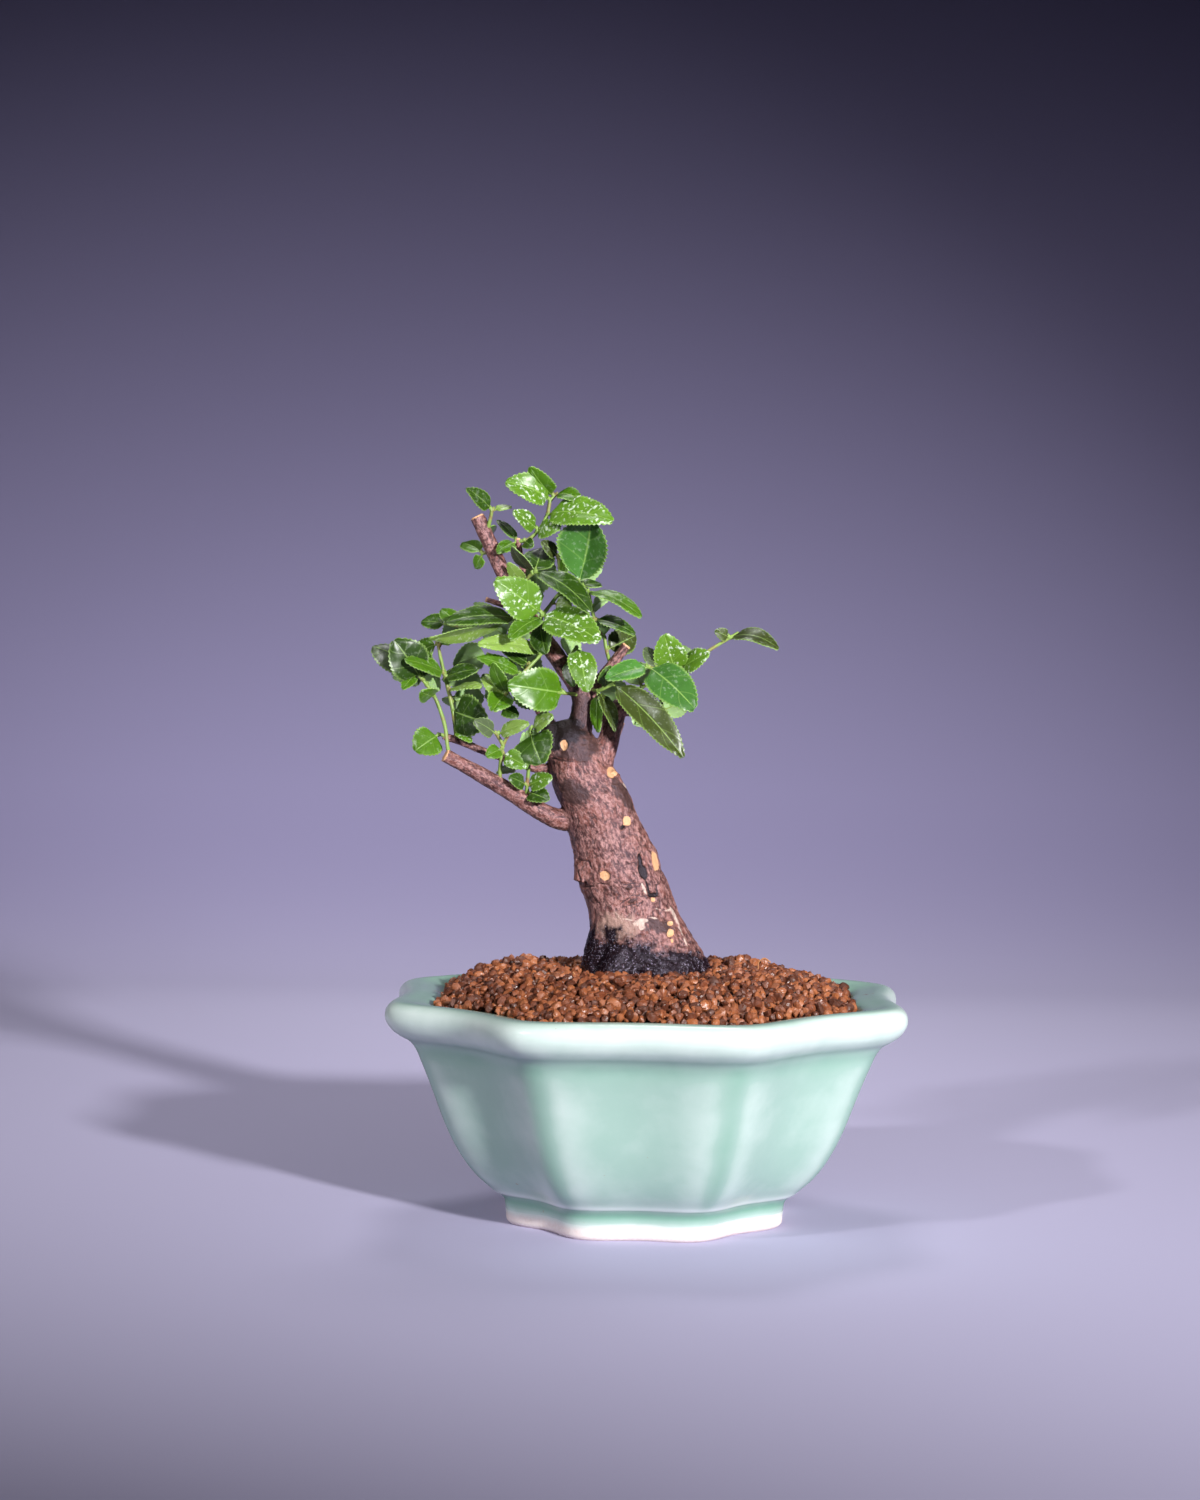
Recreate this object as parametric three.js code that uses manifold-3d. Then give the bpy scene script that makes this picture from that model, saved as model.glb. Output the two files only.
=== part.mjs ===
// A sweet plum bonsai in its octagonal celadon pot, in millimetres, +Z up.
// The viewer stands at -Y. Every point is given from the axis of the pot at the foot's
// resting plane, and the finished plant is then centred over its own reach.
import * as THREE from 'three';
import { mergeVertices } from 'three/addons/utils/BufferGeometryUtils.js';
import Module from 'manifold-3d';

const wasm = await Module();
wasm.setup();

// Pot: an eight-sided bowl with soft corners, a rolled rim and a foot ring.
const CORNERS = [22.5, 67.5, 112.5, 157.5, 202.5, 244, 291.5, 337.5]; // degrees, pressed by hand
const SIDE_HOLLOW = 0.09; // share of the corner radius that the middle of a side lies in
const CORNER_SOFTNESS = 0.12;
const CORNER_SPREAD = 0.85;
const SIDE_STEPS = [0, 0.16, 0.5, 0.84]; // shares of the way from each corner to the next
const POT_TURN = -0.3; // degrees
const FOOT_RADIUS = 42.6; // at the corners
const FOOT_RING_WIDTH = 8;
const FOOT_RECESS = 3.0;
const FLOOR_TOP = 11;
const DRAIN_RADIUS = 6.5;
const RIM_RADIUS = 81.1;
const RIM_INNER_RADIUS = 66.2;
const RIM_INNER_HEIGHT = 64.2;
const POT_OUTSIDE = [ // corner radius, height
  [FOOT_RADIUS, 0], [44.6, 7.2], [45.6, 8.6], [48.5, 11], [52, 14], [55.5, 18],
  [59.3, 24], [63.7, 33.5], [67.6, 43.5], [70, 49], [71.8, 52.8], [73.6, 55], [77, 57],
  [79.6, 59.2], [RIM_RADIUS, 62.4], [80.6, 64.8], [78.8, 66.4], [76, 66.9], [72, 66.3],
  [RIM_INNER_RADIUS, RIM_INNER_HEIGHT],
];
const POT_INSIDE = [
  [65.4, 60], [62.2, 48], [56.5, 33], [51, 24], [44, 16.5], [36, FLOOR_TOP],
];

// Soil: granules over the whole bed, as relief on a mound.
const GAP = 0.35; // between pieces that touch
const SOIL_EDGE_HEIGHT = 63.6;
const MOUND_HEIGHT = 9.2;
const MOUND_RADIUS = 66;
const MOUND_FLATNESS = 4;
const GRANULE_PITCH = 5;
const GRANULE_RELIEF = 2.2;
const SOIL_SEED = 11;

// Screen over the drain hole.
const SCREEN_RADIUS = 11;
const SCREEN_THICKNESS = 0.9;
const SCREEN_PITCH = 3.6;
const SCREEN_HOLE = 2.2;

// Leaves.
const BLADE_THICKNESS = 0.7;
const SHOOT_RADIUS = 0.62;
const LONG_LEAF = 17; // four teeth on a side from this length up
const SHORT_LEAF = 9; // two teeth on a side below this length, and three between
const NECK_LENGTH = 1.6; // slim stalk before the blade widens
const NECK_HALF_WIDTH = 0.4;
const TOOTH_OUT = 1.04;
const TOOTH_IN = 0.9;
const LEAF_SLIMNESS = 0.62;
const LEAF_SHOULDER = 0.9; // under 1 puts the widest place nearer the stalk

const degrees = THREE.MathUtils.degToRad;

function vector(point) {
  return new THREE.Vector3(...point);
}

// Turns points and triangles into a solid whose faces point out.
function solid(points, triangles) {
  let volume = 0;
  for (const [a, b, c] of triangles) {
    volume += points[a].dot(points[b].clone().cross(points[c]));
  }
  const faces = volume < 0 ? triangles.map(([a, b, c]) => [a, c, b]) : triangles;
  const geometry = new THREE.BufferGeometry().setFromPoints(points);
  geometry.setIndex(faces.flat());
  return fromGeometry(geometry);
}

function fromGeometry(source) {
  const geometry = source.clone();
  geometry.deleteAttribute('normal');
  geometry.deleteAttribute('uv');
  const merged = mergeVertices(geometry, 1e-5);
  const mesh = new wasm.Mesh({
    numProp: 3,
    vertProperties: new Float32Array(merged.attributes.position.array),
    triVerts: new Uint32Array(merged.index.array),
  });
  return new wasm.Manifold(mesh);
}

function join(solids) {
  return solids.reduce((whole, piece) => whole.add(piece));
}

// Keeps the largest body where a cut left loose scraps.
function mainBody(whole) {
  const bodies = whole.decompose();
  return bodies.reduce((best, body) => (body.volume() > best.volume() ? body : best));
}

function toMesh(name, whole, material) {
  const { vertProperties, triVerts } = whole.getMesh();
  const geometry = new THREE.BufferGeometry();
  geometry.setAttribute('position', new THREE.BufferAttribute(vertProperties, 3));
  geometry.setIndex(new THREE.BufferAttribute(triVerts, 1));
  geometry.computeVertexNormals();
  const mesh = new THREE.Mesh(geometry, material);
  mesh.name = name;
  return mesh;
}

// Skins rings of equal count; the ends are capped, or joined to each other when closed.
function loft(rings, closed = false) {
  const count = rings[0].length;
  const points = rings.flat();
  const triangles = [];
  const spans = closed ? rings.length : rings.length - 1;
  for (let r = 0; r < spans; r += 1) {
    const low = r * count;
    const high = ((r + 1) % rings.length) * count;
    for (let i = 0; i < count; i += 1) {
      const j = (i + 1) % count;
      triangles.push([low + i, low + j, high + j], [low + i, high + j, high + i]);
    }
  }
  if (!closed) {
    const last = (rings.length - 1) * count;
    for (let i = 1; i < count - 1; i += 1) {
      triangles.push([0, i + 1, i], [last, last + i, last + i + 1]);
    }
  }
  return solid(points, triangles);
}

// A tapering tube through knots [x, y, z, radius], with bark relief where it is asked for.
function tube(knots, sides, { steps = 1, grow = 0, relief = 0, grooves = 5, flat = 1 } = {}) {
  const curve = new THREE.CatmullRomCurve3(knots.map(([x, y, z]) => new THREE.Vector3(x, y, z)));
  const spans = (knots.length - 1) * steps;
  const rings = [];
  let side = null;
  for (let s = 0; s <= spans; s += 1) {
    const t = s / spans;
    const place = curve.getPoint(t);
    const along = curve.getTangent(t);
    const knot = Math.min(Math.floor(s / steps), knots.length - 2);
    const radius = THREE.MathUtils.lerp(knots[knot][3], knots[knot + 1][3], s / steps - knot) + grow;
    if (side === null) {
      side = new THREE.Vector3(1, 0, 0);
    }
    side.addScaledVector(along, -side.dot(along)).normalize();
    const across = along.clone().cross(side);
    const ring = [];
    for (let i = 0; i < sides; i += 1) {
      const angle = (i / sides) * 2 * Math.PI;
      const furrow = Math.sin(angle * grooves + s * 0.9) + 0.6 * Math.sin(angle * 3 - s * 1.7);
      const reach = radius * (1 + relief * furrow);
      ring.push(place.clone()
        .addScaledVector(side, reach * Math.cos(angle))
        .addScaledVector(across, reach * flat * Math.sin(angle)));
    }
    rings.push(ring);
  }
  return loft(rings);
}

// How far a side has drawn in at a share of the way between its two corners, from 0 to 1.
function drawnIn(share) {
  const soft = Math.hypot(Math.sin(Math.PI * share), CORNER_SOFTNESS) - CORNER_SOFTNESS;
  const full = Math.hypot(1, CORNER_SOFTNESS) - CORNER_SOFTNESS;
  return (soft / full) ** CORNER_SPREAD;
}

function octagonRing(cornerRadius, height, hollow = SIDE_HOLLOW) {
  const ring = [];
  CORNERS.forEach((corner, i) => {
    const next = i + 1 < CORNERS.length ? CORNERS[i + 1] : CORNERS[0] + 360;
    for (const share of SIDE_STEPS) {
      const angle = degrees(THREE.MathUtils.lerp(corner, next, share) + POT_TURN);
      const radius = cornerRadius * (1 - hollow * drawnIn(share));
      ring.push(new THREE.Vector3(radius * Math.cos(angle), radius * Math.sin(angle), height));
    }
  });
  return ring;
}

function pot() {
  const rings = [...POT_OUTSIDE, ...POT_INSIDE].map(([radius, height]) => octagonRing(radius, height));
  rings.push(octagonRing(DRAIN_RADIUS, FLOOR_TOP, 0));
  rings.push(octagonRing(DRAIN_RADIUS, FOOT_RECESS, 0));
  rings.push(octagonRing(FOOT_RADIUS - FOOT_RING_WIDTH - 1.5, FOOT_RECESS));
  rings.push(octagonRing(FOOT_RADIUS - FOOT_RING_WIDTH, 0));
  return loft(rings, true);
}

function cylinder(radius, low, high, sides) {
  const geometry = new THREE.CylinderGeometry(radius, radius, high - low, sides);
  geometry.rotateX(Math.PI / 2);
  geometry.translate(0, 0, (low + high) / 2);
  return fromGeometry(geometry);
}

function box(sizeX, sizeY, low, high, x, y) {
  const geometry = new THREE.BoxGeometry(sizeX, sizeY, high - low);
  geometry.translate(x, y, (low + high) / 2);
  return fromGeometry(geometry);
}

function drainScreen() {
  const low = FLOOR_TOP + GAP;
  const high = low + SCREEN_THICKNESS;
  let screen = cylinder(SCREEN_RADIUS, low, high, 16);
  for (let i = -1; i <= 1; i += 1) {
    for (let j = -1; j <= 1; j += 1) {
      const hole = box(SCREEN_HOLE, SCREEN_HOLE, low - 1, high + 1, i * SCREEN_PITCH, j * SCREEN_PITCH);
      screen = screen.subtract(hole);
    }
  }
  return screen;
}

// A repeatable draw from 0 to 1.
function drawer(seed) {
  let state = seed;
  return () => {
    state = (state * 1664525 + 1013904223) % 4294967296;
    return state / 4294967296;
  };
}

function moundHeight(x, y) {
  const share = Math.min(Math.hypot(x, y) / MOUND_RADIUS, 1);
  return SOIL_EDGE_HEIGHT + MOUND_HEIGHT * (1 - share ** MOUND_FLATNESS);
}

// A closed slab whose top is the granular mound, on a grid of equal triangles.
function moundSlab() {
  const draw = drawer(SOIL_SEED);
  const rowPitch = GRANULE_PITCH * Math.sin(Math.PI / 3);
  const half = Math.ceil(RIM_INNER_RADIUS / rowPitch) + 1;
  const columns = Math.ceil(RIM_INNER_RADIUS / GRANULE_PITCH) + 2;
  const width = 2 * columns + 1;
  const top = [];
  for (let row = -half; row <= half; row += 1) {
    for (let column = -columns; column <= columns; column += 1) {
      const x = (column + (row & 1 ? 0.5 : 0)) * GRANULE_PITCH;
      const y = row * rowPitch;
      const lift = (draw() - 0.5) * GRANULE_RELIEF;
      top.push(new THREE.Vector3(x, y, moundHeight(x, y) + lift));
    }
  }
  const bottom = top.map((p) => new THREE.Vector3(p.x, p.y, -20));
  const points = [...top, ...bottom];
  const under = top.length;
  const triangles = [];
  const rows = 2 * half + 1;
  const border = [];
  for (let r = 0; r < rows - 1; r += 1) {
    for (let c = 0; c < width - 1; c += 1) {
      const a = r * width + c;
      const [p, q, s, t] = [a, a + 1, a + width, a + width + 1];
      const pair = (r - half) & 1 ? [[p, q, t], [p, t, s]] : [[p, q, s], [q, t, s]];
      for (const [i, j, k] of pair) {
        triangles.push([i, j, k], [under + i, under + k, under + j]);
      }
    }
  }
  for (let c = 0; c < width - 1; c += 1) {
    border.push([c + 1, c], [(rows - 1) * width + c, (rows - 1) * width + c + 1]);
  }
  for (let r = 0; r < rows - 1; r += 1) {
    border.push([r * width, (r + 1) * width], [(r + 2) * width - 1, (r + 1) * width - 1]);
  }
  for (const [i, j] of border) {
    triangles.push([i, j, under + j], [i, under + j, under + i]);
  }
  return solid(points, triangles);
}

function soil(wood) {
  const rings = [...POT_INSIDE].reverse()
    .map(([radius, height]) => octagonRing(radius - GAP * 1.2, height + GAP));
  rings.push(octagonRing(RIM_INNER_RADIUS - 1, RIM_INNER_HEIGHT));
  rings.push(octagonRing(RIM_INNER_RADIUS - 2, RIM_INNER_HEIGHT + 30));
  const room = cylinder(SCREEN_RADIUS + GAP, 0, FLOOR_TOP + 3 * GAP + SCREEN_THICKNESS, 24);
  return mainBody(moundSlab().intersect(loft(rings)).subtract(room).subtract(wood));
}

// Wood: the trunk with its root stock, the leader, and each pruned branch, as knots
// [x, y, z, radius].
const TRUNK = [
  [3, 1, 34, 6], [2, 1, 50, 12], [1, 0, 66, 17], [-0.3, 0, 77.7, 15.6], [-3.5, 0, 86.3, 13.8],
  [-5.7, 0, 95.6, 12.4], [-9.3, 0, 104.8, 12.2], [-12.2, 0, 113.5, 11], [-16, 0, 124, 10.3],
  [-20.4, 0, 132, 8.9], [-22.8, 0, 139, 7.9], [-24.6, 0.5, 144, 6.2], [-25.4, 1, 147.6, 3.2],
];
const WOOD = [
  { knots: [[1, 0, 88, 7], [8, -1, 80, 7], [14.5, -2, 74, 4.6], [20, -3, 67, 3]], sides: 8, relief: 0.05 },
  { knots: [[-2, -4, 86, 8], [-7, -9, 77, 6.5], [-12, -14, 68, 4]], sides: 8, relief: 0.05 },
  { knots: [[-2, 4, 88, 8], [2, 12, 76, 6], [5, 19, 67, 3.5]], sides: 8, relief: 0.05 },
  { // leader to its cut end at the upper left
    knots: [[-21.5, 0, 137, 4.2], [-20.6, 0, 146, 3.6], [-19.9, 0, 154, 3.3], [-26.7, 0, 165.3, 2.8],
      [-32.7, 0, 173.4, 2.6], [-38.8, 0, 182.3, 2.5], [-43.9, 0, 191.3, 2.35],
      [-48, 0, 200.2, 2.25], [-52, 0, 208.4, 2.1]],
    sides: 7, relief: 0.04,
  },
  { knots: [[-37.2, 0, 181.5, 1.2], [-38.2, 0, 192.6, 1.05], [-39.9, 0, 202, 0.95]], sides: 6 },
  { knots: [[-38.4, 0, 180.6, 1.1], [-43.6, 0, 182, 0.95], [-49.2, 0, 183.8, 0.85]], sides: 6 },
  { // right branch, forked, its blunt cut end turned right
    knots: [[-17.4, 0, 131, 4.4], [-12.6, 0, 140.5, 3.2], [-11, 1, 147, 3], [-9, 2, 151.8, 2.9],
      [-4.8, 3, 152, 2.75], [-0.5, 4, 150.9, 2.65]],
    sides: 7, relief: 0.04,
  },
  { knots: [[-11.5, 1, 148, 2.4], [-17.5, 0.5, 155, 2], [-20, 0, 157, 1.8]], sides: 6 },
  { knots: [[-19.4, 0, 153.8, 1.9], [-14.6, 0.5, 160.6, 1.65], [-11, 0.5, 165.2, 1.55],
    [-7, 0.5, 170.6, 1.5]], sides: 6 },
  { knots: [[-18.6, -1, 157.2, 1.1], [-14.6, -3, 158.8, 0.95], [-10.8, -4, 160, 0.9]], sides: 6 },
  { // lower left branch
    knots: [[-19, 0, 118.5, 3.9], [-26, -1.5, 118.4, 3.2], [-30.5, -3, 120.2, 2.9], [-38, -4, 124.8, 2.65],
      [-49.7, -6.5, 131.8, 2.35], [-60.4, -9, 137.6, 2]],
    sides: 7, relief: 0.04,
  },
  { // thin twig above it
    knots: [[-24, 1, 134.5, 1.9], [-33.4, 0, 133.6, 1.5], [-40, -0.5, 135.8, 1.3],
      [-47.5, -1, 137.9, 1.2], [-55.2, -1, 141, 1.15], [-61.4, -1, 143, 1.1]],
    sides: 6,
  },
  { knots: [[-27, -1.5, 138, 5], [-29.5, -2, 143.5, 3.2], [-30, -2, 146.5, 1.4]], sides: 6, relief: 0.06 },
  { knots: [[-15, 7, 118, 3.4], [-13.6, 16, 128, 2.4], [-12, 22, 139, 1.9], [-9, 25, 147, 1.6]], sides: 6 },
  { knots: [[-21, 5, 133, 3], [-27, 12, 142, 2.1], [-34, 17, 152, 1.7], [-38, 20, 160, 1.4]], sides: 6 },
];

function wood(grow) {
  const trunk = tube(TRUNK, 14, { grow, relief: 0.035, grooves: 6, flat: 0.92 });
  const branches = WOOD.map(({ knots, sides, relief = 0 }) => tube(knots, sides, { grow, relief }));
  return mainBody(join([trunk, ...branches]));
}

// A leaf: where its blade leaves the stem, its tip, its real width, how far its face is rolled from
// the viewer towards the sky, how far its halves fold up from the midrib and how far the
// midrib bows, as a share of its length.
function leaf(
  start, tip, width, roll = 30, fold = 12, bow = 0.06, facing = 1, shoulder = LEAF_SHOULDER,
) {
  return { start: vector(start), tip: vector(tip), width, roll, fold, bow, facing, shoulder };
}

// Green shoots, each named for its place, with its stems and its leaves.
const SHOOTS = {
  shoot_crown: {
    stems: [
      [[-39.9, 0, 201], [-37, -1, 201.4], [-34.3, -1.5, 203.4], [-31, -2, 209], [-30.2, -2, 213.2]],
      [[-30.2, -2, 213.2], [-28.6, -1.5, 214.8]],
    ],
    leaves: [
      leaf([-30.8, -2.5, 213.4], [-43.3, -8, 218.2], 9.5, 25, 20, 0.16),
      leaf([-28.7, -3.2, 214.4], [-36, -8, 222.7], 7, -25, 10, 0.08),
      leaf([-27, -2.6, 214.8], [-20.6, -6, 212.9], 6, 50, 10, 0.12),
      leaf([-29.8, -3.5, 208.8], [-11.3, -14, 206.8], 11.5, 38, 14, 0.1),
      leaf([-34.6, -2.6, 204.8], [-40.8, -8, 209.6], 5.8, 30, 12, 0.05),
      leaf([-35.4, -3, 204.3], [-27, -9, 205.1], 6, 30, 12, 0.08),
      leaf([-40.4, 0.8, 202.6], [-46.2, 5, 207.4], 4.4, 50, 10, 0.05),
      leaf([-40.6, -1, 201.6], [-45.8, -5, 197.6], 4.4, 30, 10, 0.05),
      leaf([-38.2, -1.4, 201.2], [-35, -6, 199.2], 3.8, 10, 10, 0.05),
    ],
  },
  shoot_tip: {
    stems: [[[-49.2, 0, 203], [-48, -1.5, 207], [-47.4, -2, 210]]],
    leaves: [
      leaf([-47.8, -2.2, 210.2], [-54.8, -6, 216.4], 6.2, 45, 12, 0.06),
      leaf([-47, -2, 210.2], [-41.6, 0, 211.4], 3.4, 60, 8, 0.05),
      leaf([-48.6, -1, 205.6], [-48.4, 8, 202.6], 4.6, 40, 8, 0.05),
    ],
  },
  shoot_stub: {
    stems: [[[-46.2, 0, 196.4], [-48.6, 0.5, 197.6], [-50.2, 1, 197.4]]],
    leaves: [
      leaf([-50, 1.2, 197.4], [-52.6, 4, 192.8], 4, 20, 10, 0.05),
      leaf([-50.4, 1.4, 198], [-57, 8, 200.5], 5.6, 40, 10, 0.08),
    ],
  },
  shoot_upper_right: {
    stems: [
      [[-34.4, 0, 176], [-30, -2, 182], [-26, -3, 186.6], [-21.6, -4, 188.4], [-18.8, -3, 186.4]],
      [[-26, -3, 186.6], [-27, -1, 192], [-27.6, -0.6, 196.2]],
      [[-18.8, -3, 186.4], [-17.4, -1.4, 181], [-16.8, -0.6, 178]],
    ],
    leaves: [
      leaf([-22.2, -5, 189.6], [-19.6, -10, 206.9], 15.5, -10, 24, -0.08, 1, 1.35),
      leaf([-27.8, -0.4, 196.6], [-32.6, -4, 201], 4.8, 40, 10, 0.05),
      leaf([-26.4, -2.4, 190.8], [-24.8, -2.6, 196.8], 5.4, -50, 10, 0.05),
      leaf([-18.8, -4, 186.4], [-2.6, -12, 178.8], 7.4, 60, 14, 0.08),
      leaf([-20.6, -2.6, 188.2], [-14.8, 2, 188.4], 5, 60, 10, 0.08),
      leaf([-16.6, -0.6, 177.8], [-4.4, -4, 173.8], 6, 50, 16, 0.08),
      leaf([-29.6, -2.4, 183], [-23.4, -3.4, 181.6], 6.4, 16, 12, 0.05),
      leaf([-22, -2.6, 187.6], [-15, 10, 193.4], 8.5, 40, 12, 0.08, -1),
      leaf([-17.6, -0.6, 181.6], [-11.7, 8, 184.9], 5, 40, 12, 0.08, -1),
    ],
  },
  shoot_upper_front: {
    stems: [
      [[-38.2, 0, 187], [-36.4, -2, 190.4], [-34.4, -3.6, 192]],
    ],
    leaves: [
      leaf([-34.2, -4, 191.8], [-17.5, -13, 180.2], 10.5, 52, 16, 0.1),
      leaf([-35.4, -3, 192], [-41, -10, 199.2], 6.2, -60, 8, 0.04),
      leaf([-37.4, -1, 188.4], [-42.4, -5.6, 194.6], 4.4, -30, 8, 0.05),
      leaf([-34.4, -3.2, 192.4], [-32.4, 4.4, 199.2], 9.5, -10, 10, 0.06),
    ],
  },
  shoot_mid_front: {
    stems: [
      [[-33.6, 0, 174.6], [-32.6, -3, 177], [-32.2, -5, 179.6]],
    ],
    leaves: [
      leaf([-32.4, -5.4, 180.6], [-45.7, -14, 189.3], 11.8, 6, 12, 0.08, 1, 0.8),
      leaf([-31.8, -5, 178.8], [-14.8, -15, 171.8], 12.4, 34, 12, 0.08),
      leaf([-33, -4.6, 177.8], [-41.2, -16, 172.2], 7, 40, 12, 0.08),
      leaf([-32.6, -3.4, 177], [-30.7, -10, 167.8], 7.8, -30, 12, 0.06),
    ],
  },
  shoot_upper_left: {
    stems: [
      [[-36.6, 0, 179], [-40, -2, 178], [-50, -3, 175.8], [-58.4, -2, 175.8], [-61, -1, 176.4]],
    ],
    leaves: [
      leaf([-40, -3, 178.4], [-60, -12, 176.8], 9, 52, 10, 0.08),
      leaf([-42, -2.6, 177.4], [-65.2, -12, 171.8], 7.6, -64, 22, 0.02),
      leaf([-60.6, -1.4, 176.2], [-68.4, 2, 176.8], 6, 40, 12, 0.06),
      leaf([-57, -1.6, 176.4], [-62.6, 3, 180.6], 5.4, 30, 12, 0.06),
      leaf([-49, -2, 176.8], [-53, 10, 182], 8, 20, 12, 0.08, -1),
      leaf([-42, -2, 177.6], [-43, 11, 174.6], 9, 30, 12, 0.08, -1),
      leaf([-55, -1, 176], [-62, 10, 172], 8, 20, 12, 0.08, -1),
    ],
  },
  shoot_mid_left: {
    stems: [
      [[-30.4, 0, 170], [-33, -3, 167], [-38, -5, 161.4], [-42.4, -6, 156], [-44.6, -6.6, 151.6]],
    ],
    leaves: [
      leaf([-38.8, -5.4, 162.2], [-51.2, -9, 166.6], 5.8, 46, 12, 0.08),
      leaf([-43, -6, 156.6], [-46.2, -12, 165], 5.4, -30, 10, 0.06),
      leaf([-43.4, -5.6, 155], [-49.8, -4, 161.4], 6, 30, 12, 0.06),
      leaf([-42.4, -6, 155.6], [-46, -15, 151], 7.4, 20, 12, 0.06),
      leaf([-36, -3.6, 164.6], [-44, -5, 168.8], 5, 50, 10, 0.05),
      leaf([-33, -2.6, 167.4], [-37.8, 4, 168.2], 6, 50, 10, 0.05),
      leaf([-31.6, -1.4, 169], [-50.8, -14, 170.4], 7, 46, 12, 0.06),
      leaf([-40, -4.4, 158.4], [-33, -3, 152], 8, 10, 12, 0.06),
      leaf([-44.6, -6.6, 151.8], [-38.6, -9, 149.4], 4.6, 30, 10, 0.05),
      leaf([-36.6, -3, 163], [-43, 9, 160], 9, 30, 12, 0.08, -1),
      leaf([-42, -5, 157], [-49, 6, 154], 9, 20, 12, 0.08, -1),
    ],
  },
  shoot_lime: {
    stems: [
      [[-20.4, 0, 155.4], [-23.4, -5, 156], [-27.4, -9, 156.4]],
    ],
    leaves: [
      leaf([-23.3, -8.6, 157.2], [-41.6, -17, 158.6], 12.8, 6, 14, 0.08),
      leaf([-25.4, -7, 156.4], [-33.6, -8, 163], 4.4, 40, 10, 0.05),
    ],
  },
  shoot_far_left: {
    stems: [
      [[-58.8, -8.4, 136.4], [-59.8, -7, 141], [-60.4, -6, 145.4], [-61.6, -5, 149.4],
        [-64, -4.4, 155], [-67.4, -4, 159.6], [-71.4, -4, 163.4]],
    ],
    leaves: [
      leaf([-67.4, -4.6, 161.4], [-75.6, -10, 171.4], 12.4, 16, 12, 0.1),
      leaf([-65.6, -3, 160.4], [-69.6, 4, 170], 7.6, 20, 12, 0.06),
      leaf([-71.8, -3.6, 163.4], [-82.6, -3, 169.4], 9, 34, -20, 0.14),
      leaf([-69.4, -4.2, 161.4], [-73, -9, 156.8], 4, 20, 10, 0.05),
      leaf([-63.8, -5.6, 155], [-67.4, -12, 156.4], 6, -20, 10, 0.06),
      leaf([-67, -3.6, 160], [-74, 6, 166], 8, 40, 12, 0.08, -1),
      leaf([-66, -3, 158], [-64, 8, 163], 8.4, 20, 12, 0.08, -1),
      leaf([-69, -3.4, 161.4], [-77, 5, 160.6], 9, 30, 12, 0.08, -1),
    ],
  },
  shoot_left: {
    stems: [
      [[-57.4, -1, 141.8], [-58.2, -1, 148.2], [-59.8, -0.6, 155.8], [-61.2, 0, 161],
        [-62.4, 1, 165.8], [-63.4, 2, 170.4]],
    ],
    leaves: [
      leaf([-60, -1.4, 160.6], [-50.8, -7, 163], 6.2, 44, 12, 0.06),
      leaf([-59.6, -1.6, 157], [-49.6, -10, 158.2], 5.6, 72, 10, 0.05),
      leaf([-58.4, -1, 150.6], [-48, -7, 147.4], 13, -8, 12, 0.08),
      leaf([-57.8, -1, 144.4], [-52.6, -8, 141.6], 3.8, 50, 8, 0.04),
      leaf([-63, 1.6, 169.6], [-58.6, 5, 173], 5, 40, 10, 0.06),
      leaf([-63.6, 2.4, 170.6], [-72, 8, 166], 7, 30, 10, 0.06),
      leaf([-60.6, 1, 162], [-51, 11, 157], 9, 30, 12, 0.08, -1),
      leaf([-58.6, 0.4, 153], [-50, 9, 154], 9, 30, 12, 0.08, -1),
      leaf([-59.6, 0.4, 155], [-56, 9, 150], 8, 30, 12, 0.08, -1),
      leaf([-61.7, 0, 161.4], [-72, -12, 165.6], 6.6, 50, 10, 0.05),
    ],
  },
  shoot_twig_end: {
    stems: [[[-60.2, -1, 142.6], [-62.4, -2.4, 143.4], [-64, -3, 142.6]]],
    leaves: [
      leaf([-62.2, -3, 146], [-69.3, -7, 138.7], 9.8, 14, 12, 0.08),
      leaf([-64.2, -2.4, 143], [-70, 6, 140], 6, 40, 12, 0.06),
    ],
  },
  shoot_low_left: {
    stems: [
      [[-44.2, -5.4, 128.6], [-44, -6.4, 135], [-43.2, -7, 140.6], [-41.2, -7.6, 144.6]],
      [[-43.2, -7, 140.6], [-45, -8, 143.8]],
    ],
    leaves: [
      leaf([-45.4, -8, 144], [-51.6, -12, 148], 5.8, 40, 10, 0.05),
      leaf([-44.7, -8, 144.3], [-35.4, -13, 147.5], 5, 40, 10, 0.05),
      leaf([-43.8, -7.4, 139.8], [-48, -11, 137.4], 4.6, 20, 10, 0.05),
      leaf([-43, -7.6, 138], [-35.6, -12, 134.5], 5.6, 10, 10, 0.05),
      leaf([-44.6, -6, 134], [-40, 2, 133], 6.6, 40, 10, 0.06, -1),
    ],
  },
  shoot_low_front: {
    stems: [
      [[-36.6, -3.8, 122.8], [-36, -5.6, 130], [-35.4, -6, 138], [-35.2, -6.6, 145.4]],
    ],
    leaves: [
      leaf([-36, -7, 144.4], [-31.5, -13, 135.5], 13, -16, 12, 0.08),
      leaf([-35, -7, 145.8], [-28.4, -11, 149.6], 6, 44, 10, 0.05),
      leaf([-36.4, -5.8, 128.6], [-41.2, -10, 131.4], 5, 34, 10, 0.05),
      leaf([-35.4, -6, 128.2], [-28.6, -11, 131.6], 5.6, 34, 10, 0.05),
      leaf([-35.6, -5.6, 126.6], [-29.4, -10, 124.5], 6, 34, 10, 0.05),
      leaf([-35.8, -5, 140], [-37, 5, 144], 8, 20, 10, 0.05, -1),
    ],
  },
  shoot_centre: {
    stems: [
      [[-25.4, 0, 163.4], [-24, -3.4, 166.6], [-21.8, -6, 169.8]],
    ],
    leaves: [
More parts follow.
